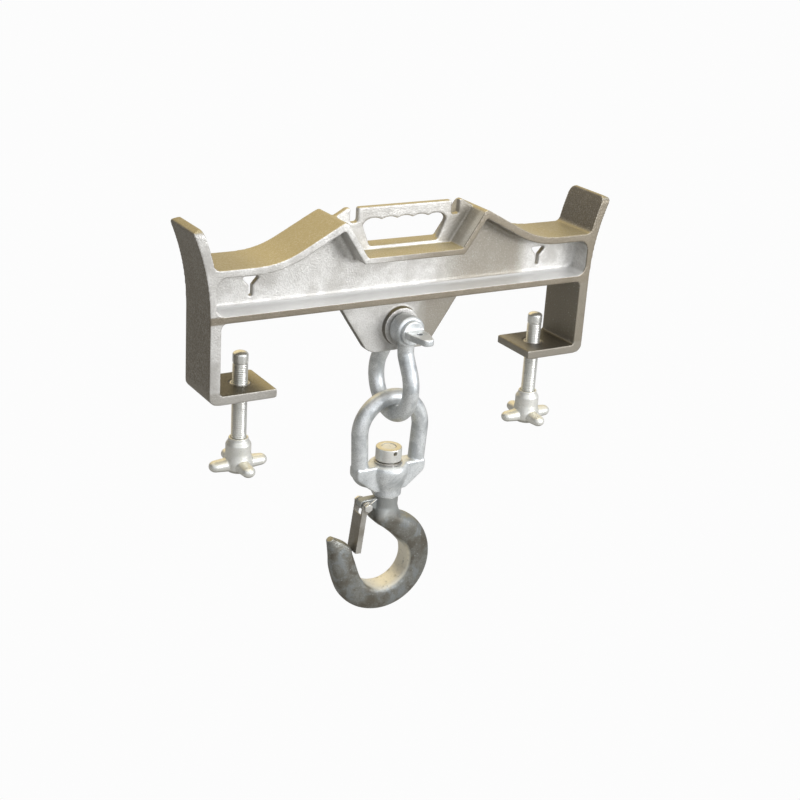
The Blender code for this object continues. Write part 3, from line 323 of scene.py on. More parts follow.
def fused(name, bodies, grain, passes=2, most_faces=None):
    """Run overlapping bodies into one skin on a fine grid, so that they meet in small cast fillets."""
    shape = bmesh.new()
    for body in bodies:
        shape.from_mesh(body.data)
        bpy.data.objects.remove(body, do_unlink=True)
    mesh = bpy.data.meshes.new(name)
    shape.to_mesh(mesh)
    shape.free()
    made = bpy.data.objects.new(name, mesh)
    scene.collection.objects.link(made)
    skin = made.modifiers.new("skin", "REMESH")
    skin.mode = "VOXEL"
    skin.voxel_size = grain
    soften = made.modifiers.new("soften", "SMOOTH")
    soften.factor = 0.5
    soften.iterations = passes
    settle(made)
    if most_faces and 2 * len(made.data.polygons) > most_faces:
        thin = made.modifiers.new("thin", "DECIMATE")
        thin.ratio = most_faces / (2 * len(made.data.polygons))
        settle(made)
    return made


def finish(piece, paint, slot, body, *nodes, angle=180):
    """Shade a piece, give it its material, tie it to its body, and hide the nodes it stands for."""
    piece.data.shade_smooth()
    if angle < 180:
        piece.data.set_sharp_from_angle(angle=math.radians(angle))
    piece.data.materials.clear()
    piece.data.materials.append(paint)
    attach(piece, body)
    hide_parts(*nodes)
    return piece


def grain_group():
    """Fine grain and larger patches, drawn on a piece's own coordinates."""
    tree = bpy.data.node_groups.new("metal_grain", "ShaderNodeTree")
    tree.interface.new_socket("Size", in_out="INPUT", socket_type="NodeSocketFloat")
    tree.interface.new_socket("Stretch", in_out="INPUT", socket_type="NodeSocketVector")
    for name in ("Fine", "Patches", "Specks", "Height"):
        tree.interface.new_socket(name, in_out="OUTPUT", socket_type="NodeSocketFloat")
    given = tree.nodes.new("NodeGroupInput").outputs
    place = add(tree, "TexCoord").outputs["Object"]
    place = add(tree, "VectorMath", {0: place, 1: given["Stretch"]}, operation="MULTIPLY").outputs[0]
    scale = add(tree, "Math", {0: 1.0, 1: given["Size"]}, operation="DIVIDE").outputs[0]
    fine = add(tree, "TexNoise", {"Vector": place, "Scale": scale, "Detail": 3.0, "Roughness": 0.6})
    wide_scale = add(tree, "Math", {0: scale, 1: 0.055}, operation="MULTIPLY").outputs[0]
    wide = add(tree, "TexNoise", {"Vector": place, "Scale": wide_scale, "Detail": 5.0, "Roughness": 0.62,
                                  "Distortion": 0.3})
    patches = span(tree, wide.outputs[0], 0.38, 0.66)
    speck_scale = add(tree, "Math", {0: scale, 1: 0.45}, operation="MULTIPLY").outputs[0]
    pits = add(tree, "TexVoronoi", {"Vector": place, "Scale": speck_scale, "Randomness": 1.0})
    specks = add(tree, "MapRange", {"Value": pits.outputs["Distance"], "From Min": 0.30, "From Max": 0.12})
    gate = add(tree, "MapRange", {"Value": fine.outputs[0], "From Min": 0.52, "From Max": 0.62})
    specks = add(tree, "Math", {0: specks.outputs[0], 1: gate.outputs[0]}, operation="MULTIPLY")
    height = add(tree, "Math", {0: fine.outputs[0], 1: wide.outputs[0]}, operation="ADD").outputs[0]
    height = add(tree, "Math", {0: specks.outputs[0], 1: -0.5, 2: height}, operation="MULTIPLY_ADD")
    out = tree.nodes.new("NodeGroupOutput")
    for name, socket in (("Fine", fine.outputs[0]), ("Patches", patches),
                         ("Specks", specks.outputs[0]), ("Height", height.outputs[0])):
        tree.links.new(socket, out.inputs[name])
    return tree


def facing_group():
    """How far a face looks up, down, or along the clamp, on the piece's own axes."""
    tree = bpy.data.node_groups.new("facing", "ShaderNodeTree")
    for name in ("Up", "Under", "End"):
        tree.interface.new_socket(name, in_out="OUTPUT", socket_type="NodeSocketFloat")
    parts = add(tree, "SeparateXYZ", {0: add(tree, "TexCoord").outputs["Normal"]})
    ends = add(tree, "Math", {0: parts.outputs["X"]}, operation="ABSOLUTE").outputs[0]
    out = tree.nodes.new("NodeGroupOutput")
    for name, value, start, full in (("Up", parts.outputs["Z"], 0.45, 0.85),
                                     ("Under", parts.outputs["Z"], -0.35, -0.8), ("End", ends, 0.45, 0.85)):
        tree.links.new(span(tree, value, start, full), out.inputs[name])
    return tree


def wear_group():
    """Edges and corners rubbed bright, broken up by a noise."""
    tree = bpy.data.node_groups.new("edge_wear", "ShaderNodeTree")
    for name in ("Start", "Full", "Break Size"):
        tree.interface.new_socket(name, in_out="INPUT", socket_type="NodeSocketFloat")
    tree.interface.new_socket("Worn", in_out="OUTPUT", socket_type="NodeSocketFloat")
    given = tree.nodes.new("NodeGroupInput").outputs
    edge = add(tree, "NewGeometry").outputs["Pointiness"]
    share = add(tree, "MapRange", {"Value": edge, "From Min": given["Start"], "From Max": given["Full"]})
    scale = add(tree, "Math", {0: 1.0, 1: given["Break Size"]}, operation="DIVIDE").outputs[0]
    place = add(tree, "TexCoord").outputs["Object"]
    rough = add(tree, "TexNoise", {"Vector": place, "Scale": scale, "Detail": 4.0})
    broken = add(tree, "MapRange", {"Value": rough.outputs[0], "From Min": 0.35, "From Max": 0.55})
    out = tree.nodes.new("NodeGroupOutput")
    tree.links.new(times(tree, share.outputs[0], broken.outputs[0]), out.inputs["Worn"])
    return tree


METAL_GRAIN, FACING, EDGE_WEAR = grain_group(), facing_group(), wear_group()


def group(tree, kind, inputs=None):
    """A shared effect placed in a material; gives its outputs."""
    made = tree.nodes.new("ShaderNodeGroup")
    made.node_tree = kind
    for socket, value in (inputs or {}).items():
        made.inputs[socket].default_value = value
    return made.outputs


def metal(name, plain, patch, up, end, under, worn, metallic, rough, grain, relief, speck=None,
          stretch=(1, 1, 1), wear=(0.52, 0.60), zones=None, overlay=None):
    """A metal skin: patches and specks on a plain colour, painted light and shade by facing, bright rubbed
    edges and a grain.

    A tint is a colour and how strongly it lies on the faces that look up (painted warm light), along the
    clamp (painted shade) or down (painted shade). Zones keep a tint to part of the piece, and an overlay
    lays more colour over the finished one.
    """
    made = bpy.data.materials.new(name)
    made.use_nodes = True
    tree = made.node_tree
    shader = tree.nodes["Principled BSDF"]
    skin = group(tree, METAL_GRAIN, {"Size": grain, "Stretch": stretch})
    facing = group(tree, FACING)
    edges = group(tree, EDGE_WEAR, {"Start": wear[0], "Full": wear[1], "Break Size": 0.012})
    colour = blend(tree, skin["Patches"], plain, patch)
    colour = blend(tree, times(tree, span(tree, skin["Fine"], 0.42, 0.62), 0.45), colour, patch)
    kept = zones(tree) if zones else {}
    # Painted light and shade: a warm tint on faces that look up, darker tints on faces that look along the
    # clamp and down.
    for side, (light_and_shade_tint, strength) in (("Up", up), ("End", end), ("Under", under)):
        share = add(tree, "Math", {0: skin["Fine"], 1: 1.2, 2: strength - 0.6}, operation="MULTIPLY_ADD")
        share = times(tree, share.outputs[0], facing[side])
        if side in kept:
            share = times(tree, share, kept[side])
        colour = blend(tree, share, colour, light_and_shade_tint)
    if overlay:
        colour = overlay(tree, colour, skin, facing)
    if speck:
        colour = blend(tree, skin["Specks"], colour, speck)
    colour = blend(tree, edges["Worn"], colour, worn)
    tree.links.new(colour, shader.inputs["Base Color"])
    shader.inputs["Metallic"].default_value = metallic
    gloss = add(tree, "MapRange", {"Value": skin["Fine"], "From Min": 0.3, "From Max": 0.7,
                                   "To Min": rough[0], "To Max": rough[1]})
    tree.links.new(gloss.outputs[0], shader.inputs["Roughness"])
    bump = add(tree, "Bump", {"Strength": 1.0, "Distance": relief, "Height": skin["Height"]})
    tree.links.new(bump.outputs[0], shader.inputs["Normal"])
    return made


def beam_half():
    """Right half of the beam seen from the front: jaw, leaning post, saddle, crest and basin."""
    flare = (POST_OUT + FLARE_RADIUS, FLARE_START)
    outer = arc(flare, FLARE_RADIUS, math.pi, math.pi - FLARE_ANGLE)
    wide = FLARE_RADIUS + FLARE_WALL
    inner = arc(flare, wide, math.pi - FLARE_ANGLE, math.pi - math.asin((SADDLE_TOP - FLARE_START) / wide))
    level = -math.pi / 2
    rise = arc((SADDLE_END, SADDLE_TOP + SADDLE_RADIUS), SADDLE_RADIUS, level, level - RISE)
    crest = (CREST, rise[-1][1] + (rise[-1][0] - CREST) * math.tan(RISE))
    corners = [(0, 0, 0), (POST_IN, 0, 0.008), (POST_IN, JAW_FLOOR, 0.003), (FOOT_TIP, JAW_FLOOR, 0.003)]
    corners += [(FOOT_TIP, FOOT_UNDER, 0.003), (POST_OUT, FOOT_UNDER, 0.012)] + sharp(outer[:-1])
    corners += [(*outer[-1], 0.003), (*inner[0], 0.003)] + sharp(inner[1:-1]) + [(*inner[-1], 0.008)]
    corners += sharp(rise) + [(*crest, 0.006), (BASIN_REACH, BASIN, 0.004), (0, BASIN, 0)]
    return rounded(corners), rise, crest


def pocket_half(crest, deeper):
    """Right half of a web pocket, its walls moved in by a distance."""
    centre = (SADDLE_END, SADDLE_TOP + SADDLE_RADIUS)
    under = arc(centre, SADDLE_RADIUS + TOP_FLANGE + deeper, -math.pi / 2, -math.pi / 2 - RISE)
    slope = math.atan2(crest[1] - BASIN, crest[0] - BASIN_REACH)
    wall = BASIN_WALL + deeper
    foot = BASIN_REACH + wall / math.sin(slope)
    steep, gentle = math.tan(slope), -math.tan(RISE)
    apex = (under[-1][1] - BASIN + steep * foot - gentle * under[-1][0]) / (steep - gentle)
    end, floor, roof = POST_OUT - END_WALL - deeper, LOW_FLANGE + deeper, SADDLE_TOP - TOP_FLANGE - deeper
    corners = [(0, floor, 0), (end, floor, 0.014 - deeper), (end, roof, 0.014 - deeper)] + sharp(under)
    corners += [(apex, BASIN + (apex - foot) * steep, 0.0035), (foot - wall / steep, BASIN - wall, 0.0035)]
    return rounded(corners + [(0, BASIN - wall, 0)])


def pocket_tool(crest, side):
    """The space between the flanges on one side of the web, with a round fillet all along its foot."""
    open_edge, spring = BEAM_HALF_WIDTH + 0.01, WEB / 2 + WEB_FILLET
    levels = [(0, open_edge)]
    for step in range(7):
        turn = math.pi / 2 * step / 6
        levels.append((WEB_FILLET * (1 - math.cos(turn)), spring - WEB_FILLET * math.sin(turn)))
    shape = bmesh.new()
    outlines = []
    for deeper, reach in levels:
        outlines.append([(u, side * reach, v) for u, v in mirrored(pocket_half(crest, deeper))])
    add_loft(shape, outlines)
    return body_of("pocket_tool", shape)


def prism_body(name, outline, half, axis="Y"):
    shape = bmesh.new()
    add_prism(shape, outline, -half, half, axis)
    return body_of(name, shape)


def web_plate(rise):
    """The handle and its two ears, rising out of the beam in the plane of the web."""
    foot = rise[-1][1] + (rise[-1][0] - EAR_REACH) * math.tan(RISE) - TOP_FLANGE / 3
    side, slot = HANDLE_REACH + EAR_SLOT, HANDLE_TOP - EAR_SLOT_DEPTH
    half = [(0, BASIN - BASIN_WALL / 2, 0), (0.085, BASIN, 0), (EAR_REACH, foot, 0)]
    half += [(side + 0.005, HANDLE_TOP, 0.0025), (side, HANDLE_TOP, 0.001), (side, slot, EAR_SLOT / 4)]
    half += [(HANDLE_REACH, slot, EAR_SLOT / 4), (HANDLE_REACH, HANDLE_TOP, 0.003), (0, HANDLE_TOP, 0)]
    plate = prism_body("web_plate", mirrored(rounded(half)), WEB / 2)
    cusp, reach = HANDLE_TOP - GRIP, FINGER_PITCH * FINGERS / 2
    radius = ((FINGER_PITCH / 2) ** 2 + FINGER_RISE ** 2) / (2 * FINGER_RISE)
    swing = math.asin(FINGER_PITCH / 2 / radius)
    sill = BASIN + 0.0055
    corners = [(-0.051, sill, 0.005), (0.051, sill, 0.005), (reach + 0.005, cusp - 0.005, 0.004)]
    for finger in reversed(range(FINGERS)):
        middle = (-reach + FINGER_PITCH * (finger + 0.5), cusp + FINGER_RISE - radius)
        groove = arc(middle, radius, math.pi / 2 - swing, math.pi / 2 + swing)
        corners += sharp(groove[finger != FINGERS - 1:])
    corners += [(-reach - 0.005, cusp - 0.005, 0.004)]
    return cut(plate, prism_body("grip_tool", rounded(corners), BEAM_HALF_WIDTH))


def window_tool(side):
    """A see-through funnel near each end of the web."""
    stem, mouth, low, bend, top = 0.0025, 0.013, 0.0205, 0.034, 0.0455
    corners = [(-stem, low, 0.001), (stem, low, 0.001), (stem, bend, 0.002), (mouth, top, 0.002)]
    corners += [(-mouth, top, 0.002), (-stem, bend, 0.002)]
    outline = [(side * WINDOW_X + u, v) for u, v in rounded(corners)]
    return prism_body("window_tool", outline, BEAM_HALF_WIDTH)


def make_casting():
    """The beam with its post tops rounded, pockets and windows cut, and handle, lug and boss run in."""
    half, rise, crest = beam_half()
    beam = prism_body("beam_body", mirrored(half), BEAM_HALF_WIDTH)
    soft, past = 0.010, BEAM_HALF_WIDTH + 0.01
    ridge, spring = BEAM_HALF_WIDTH - soft, max(v for _, v in half) - soft
    hall = [(-past, FOOT_UNDER - 0.01), (past, FOOT_UNDER - 0.01), (past, spring)]
    hall += arc((ridge, spring), soft, 0, math.pi / 2) + arc((-ridge, spring), soft, math.pi / 2, math.pi)
    hall += [(-past, spring)]
    shape = bmesh.new()
    add_prism(shape, hall, -0.4, 0.4)
    bmesh.ops.rotate(shape, verts=shape.verts, matrix=Matrix.Rotation(math.pi / 2, 3, "Z"))
    cut(beam, body_of("post_tops", shape), operation="INTERSECT")
    cut(beam, pocket_tool(crest, -1), pocket_tool(crest, 1), window_tool(-1), window_tool(1))
    outline = [(-LUG_FOOT, LUG_LOW, 0.024), (LUG_FOOT, LUG_LOW, 0.024), (LUG_TOP, LUG_ROOT, 0)]
    outline += [(-LUG_TOP, LUG_ROOT, 0)]
    lug = prism_body("lug", rounded(outline), LUG_HALF)
    boss = rod_body("boss", BOSS_RADIUS, (0, -BOSS_HALF, PIN_Z), (0, BOSS_HALF, PIN_Z), 96)
    for body in (lug, boss):
        cut(body, rod_body("bore_tool", LUG_BORE, (0, -0.1, PIN_Z), (0, 0.1, PIN_Z)))
    tools = []
    for side in (-1, 1):
        x = side * SCREW_X
        seat = (x, 0, FOOT_UNDER + 0.002)
        tools.append(rod_body("seat_tool", SEAT_RADIUS, seat, (x, 0, JAW_FLOOR + 0.01)))
        tools.append(rod_body("hole_tool", FOOT_HOLE, (x, 0, FOOT_UNDER - 0.01), (x, 0, JAW_FLOOR)))
    cut(beam, *tools)
    return fused("cast_beam", [beam, web_plate(rise), lug, boss], 0.0012, 3, 190000)


def beam_place(tree):
    """Where a point lies on the beam: along it, its height, and how far from the middle both ways."""
    place = add(tree, "SeparateXYZ", {0: add(tree, "TexCoord").outputs["Object"]})
    along = add(tree, "Math", {0: place.outputs["X"]}, operation="ABSOLUTE").outputs[0]
    across = add(tree, "Math", {0: place.outputs["Y"]}, operation="ABSOLUTE").outputs[0]
    return place.outputs["X"], place.outputs["Z"], along, across


def beam_zones(tree):
    """The painted warm light on upward faces lies on the outside only, and the painted shade on end faces
    only on the posts and in the jaws.
    """
    _, height, along, _ = beam_place(tree)
    in_pocket = times(tree, span(tree, height, 0.004, 0.006), span(tree, height, 0.032, 0.030))
    in_end = times(tree, times(tree, span(tree, height, 0.004, 0.006), span(tree, height, 0.064, 0.061)),
                   span(tree, along, 0.280, 0.278))
    outside = add(tree, "Math", {0: 1.0, 1: in_pocket}, operation="SUBTRACT").outputs[0]
    on_post = add(tree, "Math", {0: span(tree, along, 0.255, 0.262), 1: in_end}, operation="SUBTRACT",
                  use_clamp=True).outputs[0]
    return {"Up": outside, "End": on_post}


def beam_overlay(tree, colour, skin, facing):
    """Painted shade in brown on the right-hand flange edges, the low flange edge, web and lug, near-black in
    the jaw floors, dark on the lug's ends and underside and brown-tan on the saddle ends' tops; greyer foot
    sides, a painted highlight that turns the pocket floor near-white, and pale specks on the ends.
    """
    side, height, along, across = beam_place(tree)
    # Painted shade: brown on the flange edges, stronger towards the right and along the low flange edge.
    low_edge = times(tree, span(tree, height, 0.011, 0.008), span(tree, height, -0.002, 0.001))
    edge = times(tree, span(tree, across, 0.0350, 0.0362), span(tree, facing["Up"], 0.5, 0.2))
    right = span(tree, side, -0.09, 0.04)
    edge_share = add(tree, "Math", {0: right, 1: low_edge}, operation="MAXIMUM").outputs[0]
    edge_share = times(tree, times(tree, edge, edge_share), span(tree, skin["Fine"], -0.1, 0.4))
    colour = blend(tree, times(tree, edge_share, 0.9), colour, (0.20, 0.168, 0.118))
    # Painted shade: grey-brown on the right part of the shoulder web and on the low right of the beam, where
    # the lug is.
    web = times(tree, span(tree, side, 0.035, 0.10), span(tree, side, 0.205, 0.175))
    web = times(tree, web, span(tree, across, 0.030, 0.020))
    web = times(tree, web, span(tree, facing["Up"], 0.5, 0.1))
    low_right = times(tree, span(tree, side, 0.012, 0.045), span(tree, height, 0.0, -0.004))
    web = add(tree, "Math", {0: web, 1: low_right}, operation="MAXIMUM").outputs[0]
    web_shade = times(tree, web, span(tree, skin["Fine"], -0.1, 0.5))
    colour = blend(tree, times(tree, web_shade, 0.85), colour, (0.26, 0.235, 0.19))
    # Painted shade: the jaw floors near-black.
    at_foot = span(tree, height, -0.085, -0.090)
    foot = times(tree, times(tree, at_foot, facing["Up"]), span(tree, along, 0.192, 0.222))
    colour = blend(tree, times(tree, foot, 0.85), colour, (0.05, 0.045, 0.037))
    foot_edge = times(tree, at_foot, span(tree, facing["Up"], 0.4, 0.1))
    colour = blend(tree, times(tree, foot_edge, 0.6), colour, (0.30, 0.28, 0.245))
    # Painted shade on the lug's end faces and underside.
    rim = add(tree, "Math", {0: facing["End"], 1: facing["Under"]}, operation="MAXIMUM").outputs[0]
    on_lug = times(tree, span(tree, height, 0.0, -0.004), span(tree, along, 0.09, 0.085))
    colour = blend(tree, times(tree, times(tree, on_lug, rim), 0.85), colour, (0.12, 0.11, 0.09))
    # Painted shade, brown-tan, on the top faces at the saddle ends.
    saddle_end = times(tree, times(tree, span(tree, along, 0.19, 0.25), facing["Up"]),
                       span(tree, height, 0.03, 0.04))
    colour = blend(tree, times(tree, saddle_end, 0.5), colour, (0.22, 0.19, 0.125))
    # Painted highlight: the pocket floor near-white.
    low_flange = times(tree, span(tree, height, 0.005, 0.007), span(tree, height, 0.016, 0.012))
    colour = blend(tree, times(tree, low_flange, facing["Up"]), colour, (0.92, 0.92, 0.91))
    pale = times(tree, times(tree, skin["Specks"], facing["End"]), 0.9)
    return blend(tree, pale, colour, (0.62, 0.60, 0.54))


# Its tan up tint is painted warm light; its dark end and under tints are painted shade.
CAST_ALUMINIUM = metal("cast_aluminium_skin", (0.68, 0.675, 0.66), (0.47, 0.46, 0.44),
                       ((0.40, 0.335, 0.185), 0.95), ((0.205, 0.185, 0.155), 0.95),
                       ((0.20, 0.18, 0.15), 0.7), (0.93, 0.92, 0.90), 0.55, (0.36, 0.58), 0.0020, 0.00045,
                       wear=(0.53, 0.60), zones=beam_zones, overlay=beam_overlay)
finish(make_casting(), CAST_ALUMINIUM, "cast_aluminium", "beam", "beam_casting")

# ---------------------------------------------------------------- thread inserts
# A turned steel sleeve pressed into each foot from above, level with its top.
# It carries the screw's thread.

SCREW_HOLE = 0.0103
# Its up tint is painted warm light; its end and under tints are painted shade.
WASHED_STEEL = metal("plain_steel_skin", (0.42, 0.41, 0.39), (0.33, 0.32, 0.30), ((0.50, 0.44, 0.33), 0.4),
                     ((0.25, 0.24, 0.22), 0.4), ((0.22, 0.2, 0.18), 0.5), (0.75, 0.74, 0.72), 0.9,
                     (0.25, 0.4), 0.0006, 0.00006, stretch=(1, 1, 4))


def turned(name, profile, place=(0, 0, 0), steps=96):
    """A turned piece about Z. Its profile (radius, z) runs from the top down its outer side."""
    shape = bmesh.new()
    points = [shape.verts.new((radius, 0, z)) for radius, z in profile]
    edges = [shape.edges.new(pair) for pair in zip(points, points[1:])]
    if profile[0][0] > 1e-6:
        edges.append(shape.edges.new((points[-1], points[0])))
    bmesh.ops.spin(shape, geom=points + edges, cent=(0, 0, 0), axis=(0, 0, 1), angle=2 * math.pi,
                   steps=steps, use_merge=True)
    bmesh.ops.remove_doubles(shape, verts=shape.verts, dist=1e-6)
    bmesh.ops.translate(shape, verts=shape.verts, vec=place)
    return body_of(name, shape)


for side_name, side in (("left", -1), ("right", 1)):
    low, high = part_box(side_name + "_thread_insert")
    outer, soft = (high.x - low.x) / 2, 0.0006
    ring = [(SCREW_HOLE + soft, high.z), (outer - soft, high.z), (outer, high.z - soft), (outer, low.z)]
    ring += [(SCREW_HOLE, low.z), (SCREW_HOLE, high.z - soft)]
    sleeve = turned(side_name + "_sleeve", ring, (side * SCREW_X, 0, 0))
    finish(sleeve, WASHED_STEEL, "plain_steel", "beam", side_name + "_thread_insert", angle=30)

# ---------------------------------------------------------------- caps and clamp screws
# Bright zinc-plated steel. The domed cap stays still on the clamped tine while the screw turns in it; the
# screw is a 20 mm bar with a rolled thread of 2.5 mm pitch, its crests burnished.

# Its up tint is painted warm light; its end and under tints are painted shade.
BRIGHT_ZINC = metal("bright_zinc_skin", (0.93, 0.94, 0.93), (0.80, 0.82, 0.81), ((0.85, 0.80, 0.66), 0.5),
                    ((0.60, 0.60, 0.56), 0.3), ((0.40, 0.39, 0.34), 0.6), (0.95, 0.95, 0.93), 0.85,
                    (0.22, 0.36), 0.0007, 0.00004, stretch=(1, 1, 2.5), wear=(0.53, 0.62))
THREAD_PITCH, THREAD_DEPTH, THREAD_STEPS = 0.0025, 0.0009, 48
BUTTON_RADIUS, BUTTON_DEPTH, BUTTON_NECK = 0.007, 0.004, 0.0045


def make_cap(side_name, side):
    """A domed cap, hollow below, where the button on the screw is caught behind its mouth."""
    low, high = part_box(side_name + "_screw_cap")
    dome, lip, mouth, room = 0.005, 0.0008, 0.0051, 0.0073
    profile = []
    for step in range(13):
        turn = math.pi / 2 * (1 - step / 12)
        profile.append((SCREW_RADIUS * math.cos(turn), high.z - dome + dome * math.sin(turn)))
    profile += [(SCREW_RADIUS, low.z + lip), (SCREW_RADIUS - lip, low.z), (mouth, low.z)]
    profile += [(mouth, low.z + 0.003), (room, low.z + 0.003), (room, low.z + 0.0076), (0, low.z + 0.0076)]
    profile[0] = (0, high.z)
    cap = turned(side_name + "_cap", profile, (side * SCREW_X, 0, 0))
    finish(cap, BRIGHT_ZINC, "zinc_plated_steel", side_name + "_cap", side_name + "_screw_cap", angle=35)


def make_screw(side_name, side):
    """The bar's core with its button and neck, and the thread wound round it."""
    low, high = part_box(side_name + "_clamp_screw")
    cap_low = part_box(side_name + "_screw_cap")[0].z
    root, top = SCREW_RADIUS - THREAD_DEPTH, cap_low - 0.0003
    core = [(0, high.z), (BUTTON_RADIUS - 0.0005, high.z), (BUTTON_RADIUS, high.z - 0.0005)]
    core += [(BUTTON_RADIUS, high.z - BUTTON_DEPTH), (BUTTON_NECK, high.z - BUTTON_DEPTH)]
    core += [(BUTTON_NECK, top), (root, top), (root, low.z), (0, low.z)]
    bar = turned("screw_core", core, (side * SCREW_X, 0, 0))
    shape = bmesh.new()
    shape.from_mesh(bar.data)
    bpy.data.objects.remove(bar, do_unlink=True)
    turns = int((top - low.z - 0.012) / THREAD_PITCH)
    start = top - 0.0004 - (turns + 1) * THREAD_PITCH
    flank, crest = root + 0.0002, SCREW_RADIUS - 0.0001
    tooth = ((root - 0.0004, 0.0), (flank, 0.12), (crest, 0.40), (crest, 0.60), (flank, 0.88))
    points = []
    for turn in range(turns):
        for radius, share in tooth:
            points.append(shape.verts.new((radius, 0, start + (turn + share) * THREAD_PITCH)))
    points.append(shape.verts.new((root - 0.0004, 0, start + turns * THREAD_PITCH)))
    edges = [shape.edges.new(pair) for pair in zip(points, points[1:])]
    bmesh.ops.spin(shape, geom=points + edges, cent=(0, 0, 0), axis=(0, 0, 1), angle=2 * math.pi,
                   steps=THREAD_STEPS, dvec=(0, 0, THREAD_PITCH / THREAD_STEPS))
    wound = [v for v in shape.verts if abs(v.co.x - side * SCREW_X) > 0.02]
    bmesh.ops.remove_doubles(shape, verts=wound, dist=2e-5)
    bmesh.ops.translate(shape, verts=[v for v in wound if v.is_valid], vec=(side * SCREW_X, 0, 0))
    bmesh.ops.holes_fill(shape, edges=[e for e in shape.edges if e.is_boundary], sides=0)
    screw = body_of(side_name + "_screw", shape)
    finish(screw, BRIGHT_ZINC, "zinc_plated_steel", side_name + "_screw", side_name + "_clamp_screw",
           angle=50)


for side_name, side in (("left", -1), ("right", 1)):
    make_cap(side_name, side)
    make_screw(side_name, side)

# ---------------------------------------------------------------- star knobs and their pins
# A cast star knob with four round prongs that run up into a long hub, tumbled smooth and plated; a steel
# pin through the hub holds it on the end of the screw.

# Its up tint is painted warm light; its end and under tints are painted shade.
KNOB_METAL = metal("plated_knob_skin", (0.93, 0.93, 0.90), (0.76, 0.77, 0.74), ((0.86, 0.80, 0.62), 0.75),
                   ((0.50, 0.49, 0.45), 0.25), ((0.22, 0.21, 0.17), 0.75), (0.93, 0.93, 0.90), 0.6,
                   (0.32, 0.46), 0.0011, 0.00012, speck=(0.42, 0.40, 0.34), wear=(0.52, 0.60))


def cross_pin(name, node, x, soft):
    """A round steel pin along Y with small chamfers."""
    low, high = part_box(node)
    half, radius = (high.y - low.y) / 2, (high.z - low.z) / 2
    profile = [(0, half), (radius - soft, half), (radius, half - soft), (radius, soft - half)]
    profile += [(radius - soft, -half), (0, -half)]
    pin = turned(name, profile, steps=32)
    lay = Matrix.Translation((x, 0, (low.z + high.z) / 2)) @ Matrix.Rotation(math.pi / 2, 4, "X")
    pin.data.transform(lay)
    return pin


def make_knob(side_name, side):
    """The hub, turned and bored, with four prongs run into its foot, and the pin across it."""
    low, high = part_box(side_name + "_star_knob")
    reach, prong, thick = (high.x - low.x) / 2, 0.009, 0.0075
    place = Vector((side * SCREW_X, 0, low.z))
    profile = [(0, high.z), (0.0122, high.z), (0.0130, high.z - 0.0008), (0.0130, high.z - 0.0035)]
    profile += [(0.0165, high.z - 0.009), (0.0165, low.z + 0.026), (0.0185, low.z + 0.014)]
    profile += [(0.0185, low.z + 0.006), (0.0130, low.z + 0.0002), (0, low.z + 0.0002)]
    bore = rod_body("bore_tool", SCREW_HOLE, (place.x, 0, low.z + 0.008), (place.x, 0, high.z + 0.01))
    bodies = [cut(turned("hub", profile, (place.x, 0, 0), 72), bore)]
    for quarter in range(4):
        heading = Matrix.Rotation(math.pi / 2 * quarter, 4, "Z")
        shape = bmesh.new()
        bmesh.ops.create_uvsphere(shape, u_segments=32, v_segments=20, radius=prong)
        outer = [v for v in shape.verts if v.co.x > 1e-5]
        bmesh.ops.translate(shape, verts=outer, vec=(reach - 2 * prong, 0, 0))
        bmesh.ops.scale(shape, verts=shape.verts, vec=(1, 1, thick / prong))
        inner = [v for v in shape.verts if v.co.x < 0.012]
        bmesh.ops.scale(shape, verts=inner, vec=(1, 1.15, 1.25))
        bmesh.ops.translate(shape, verts=shape.verts, vec=(prong, 0, 0.003 + thick))
        bmesh.ops.transform(shape, verts=shape.verts, matrix=Matrix.Translation(place) @ heading)
        bodies.append(body_of("prong", shape))
    knob = fused(side_name + "_knob", bodies, 0.0007, 6)
    body = side_name + "_screw"
    finish(knob, KNOB_METAL, "zinc_plated_steel", body, side_name + "_star_knob")
    pin = cross_pin(side_name + "_cross_pin", side_name + "_knob_pin", place.x, 0.0006)
    finish(pin, WASHED_STEEL, "plain_steel", body, side_name + "_knob_pin", angle=30)


for side_name, side in (("left", -1), ("right", 1)):
    make_knob(side_name, side)

# ---------------------------------------------------------------- bow shackle
# A forged bow of 22 mm bar with flattened round ears, hot-dip galvanised: a bluish white skin with soft
# spangle. Its screw pin has a round collar and a flat eye to turn it by.

# Its up tint is painted warm light; its end and under tints are painted shade.
GALVANISED = metal("galvanised_skin", (0.88, 0.91, 0.93), (0.50, 0.53, 0.55), ((0.80, 0.79, 0.74), 0.5),
                   ((0.38, 0.40, 0.41), 0.35), ((0.30, 0.30, 0.28), 0.5), (0.90, 0.92, 0.93), 0.6,
                   (0.30, 0.50), 0.0014, 0.00018, speck=(0.36, 0.35, 0.31), wear=(0.515, 0.58))
BAR, EAR_BORE = 0.0110, 0.0123
EAR_NEAR, EAR_FAR, EAR_RADIUS = 0.0145, 0.0375, 0.021
BOW_RADIUS, BOW_Z, LEG_ANGLE = 0.046, -0.121, math.radians(31)


def add_swept(shape, path, radii, sides=40):
    """A round bar that follows a path, its end faces closed."""
    last = None
    for index, (place, radius) in enumerate(zip(path, radii)):
        ahead = Vector(path[min(index + 1, len(path) - 1)]) - Vector(path[max(index - 1, 0)])
        turn = Vector((0, 0, 1)).rotation_difference(ahead)
        if last is not None:
            turn = (last @ Vector((0, 0, 1))).rotation_difference(ahead) @ last
        last = turn
        matrix = Matrix.Translation(place) @ turn.to_matrix().to_4x4()
        circle = bmesh.ops.create_circle(shape, cap_ends=False, segments=sides, radius=radius, matrix=matrix)
        ring = circle["verts"]
        if index:
            for side in range(sides):
                after = (side + 1) % sides
                shape.faces.new((previous[side], previous[after], ring[after], ring[side]))
        else:
            shape.faces.new(ring)
        previous = ring
    shape.faces.new(previous)


def soften(shape, edges, offset, segments):
    """Round some edges of a shape."""
    bmesh.ops.bevel(shape, geom=edges, offset=offset, offset_type="OFFSET", segments=segments, profile=0.5,
                    affect="EDGES", material=-1)


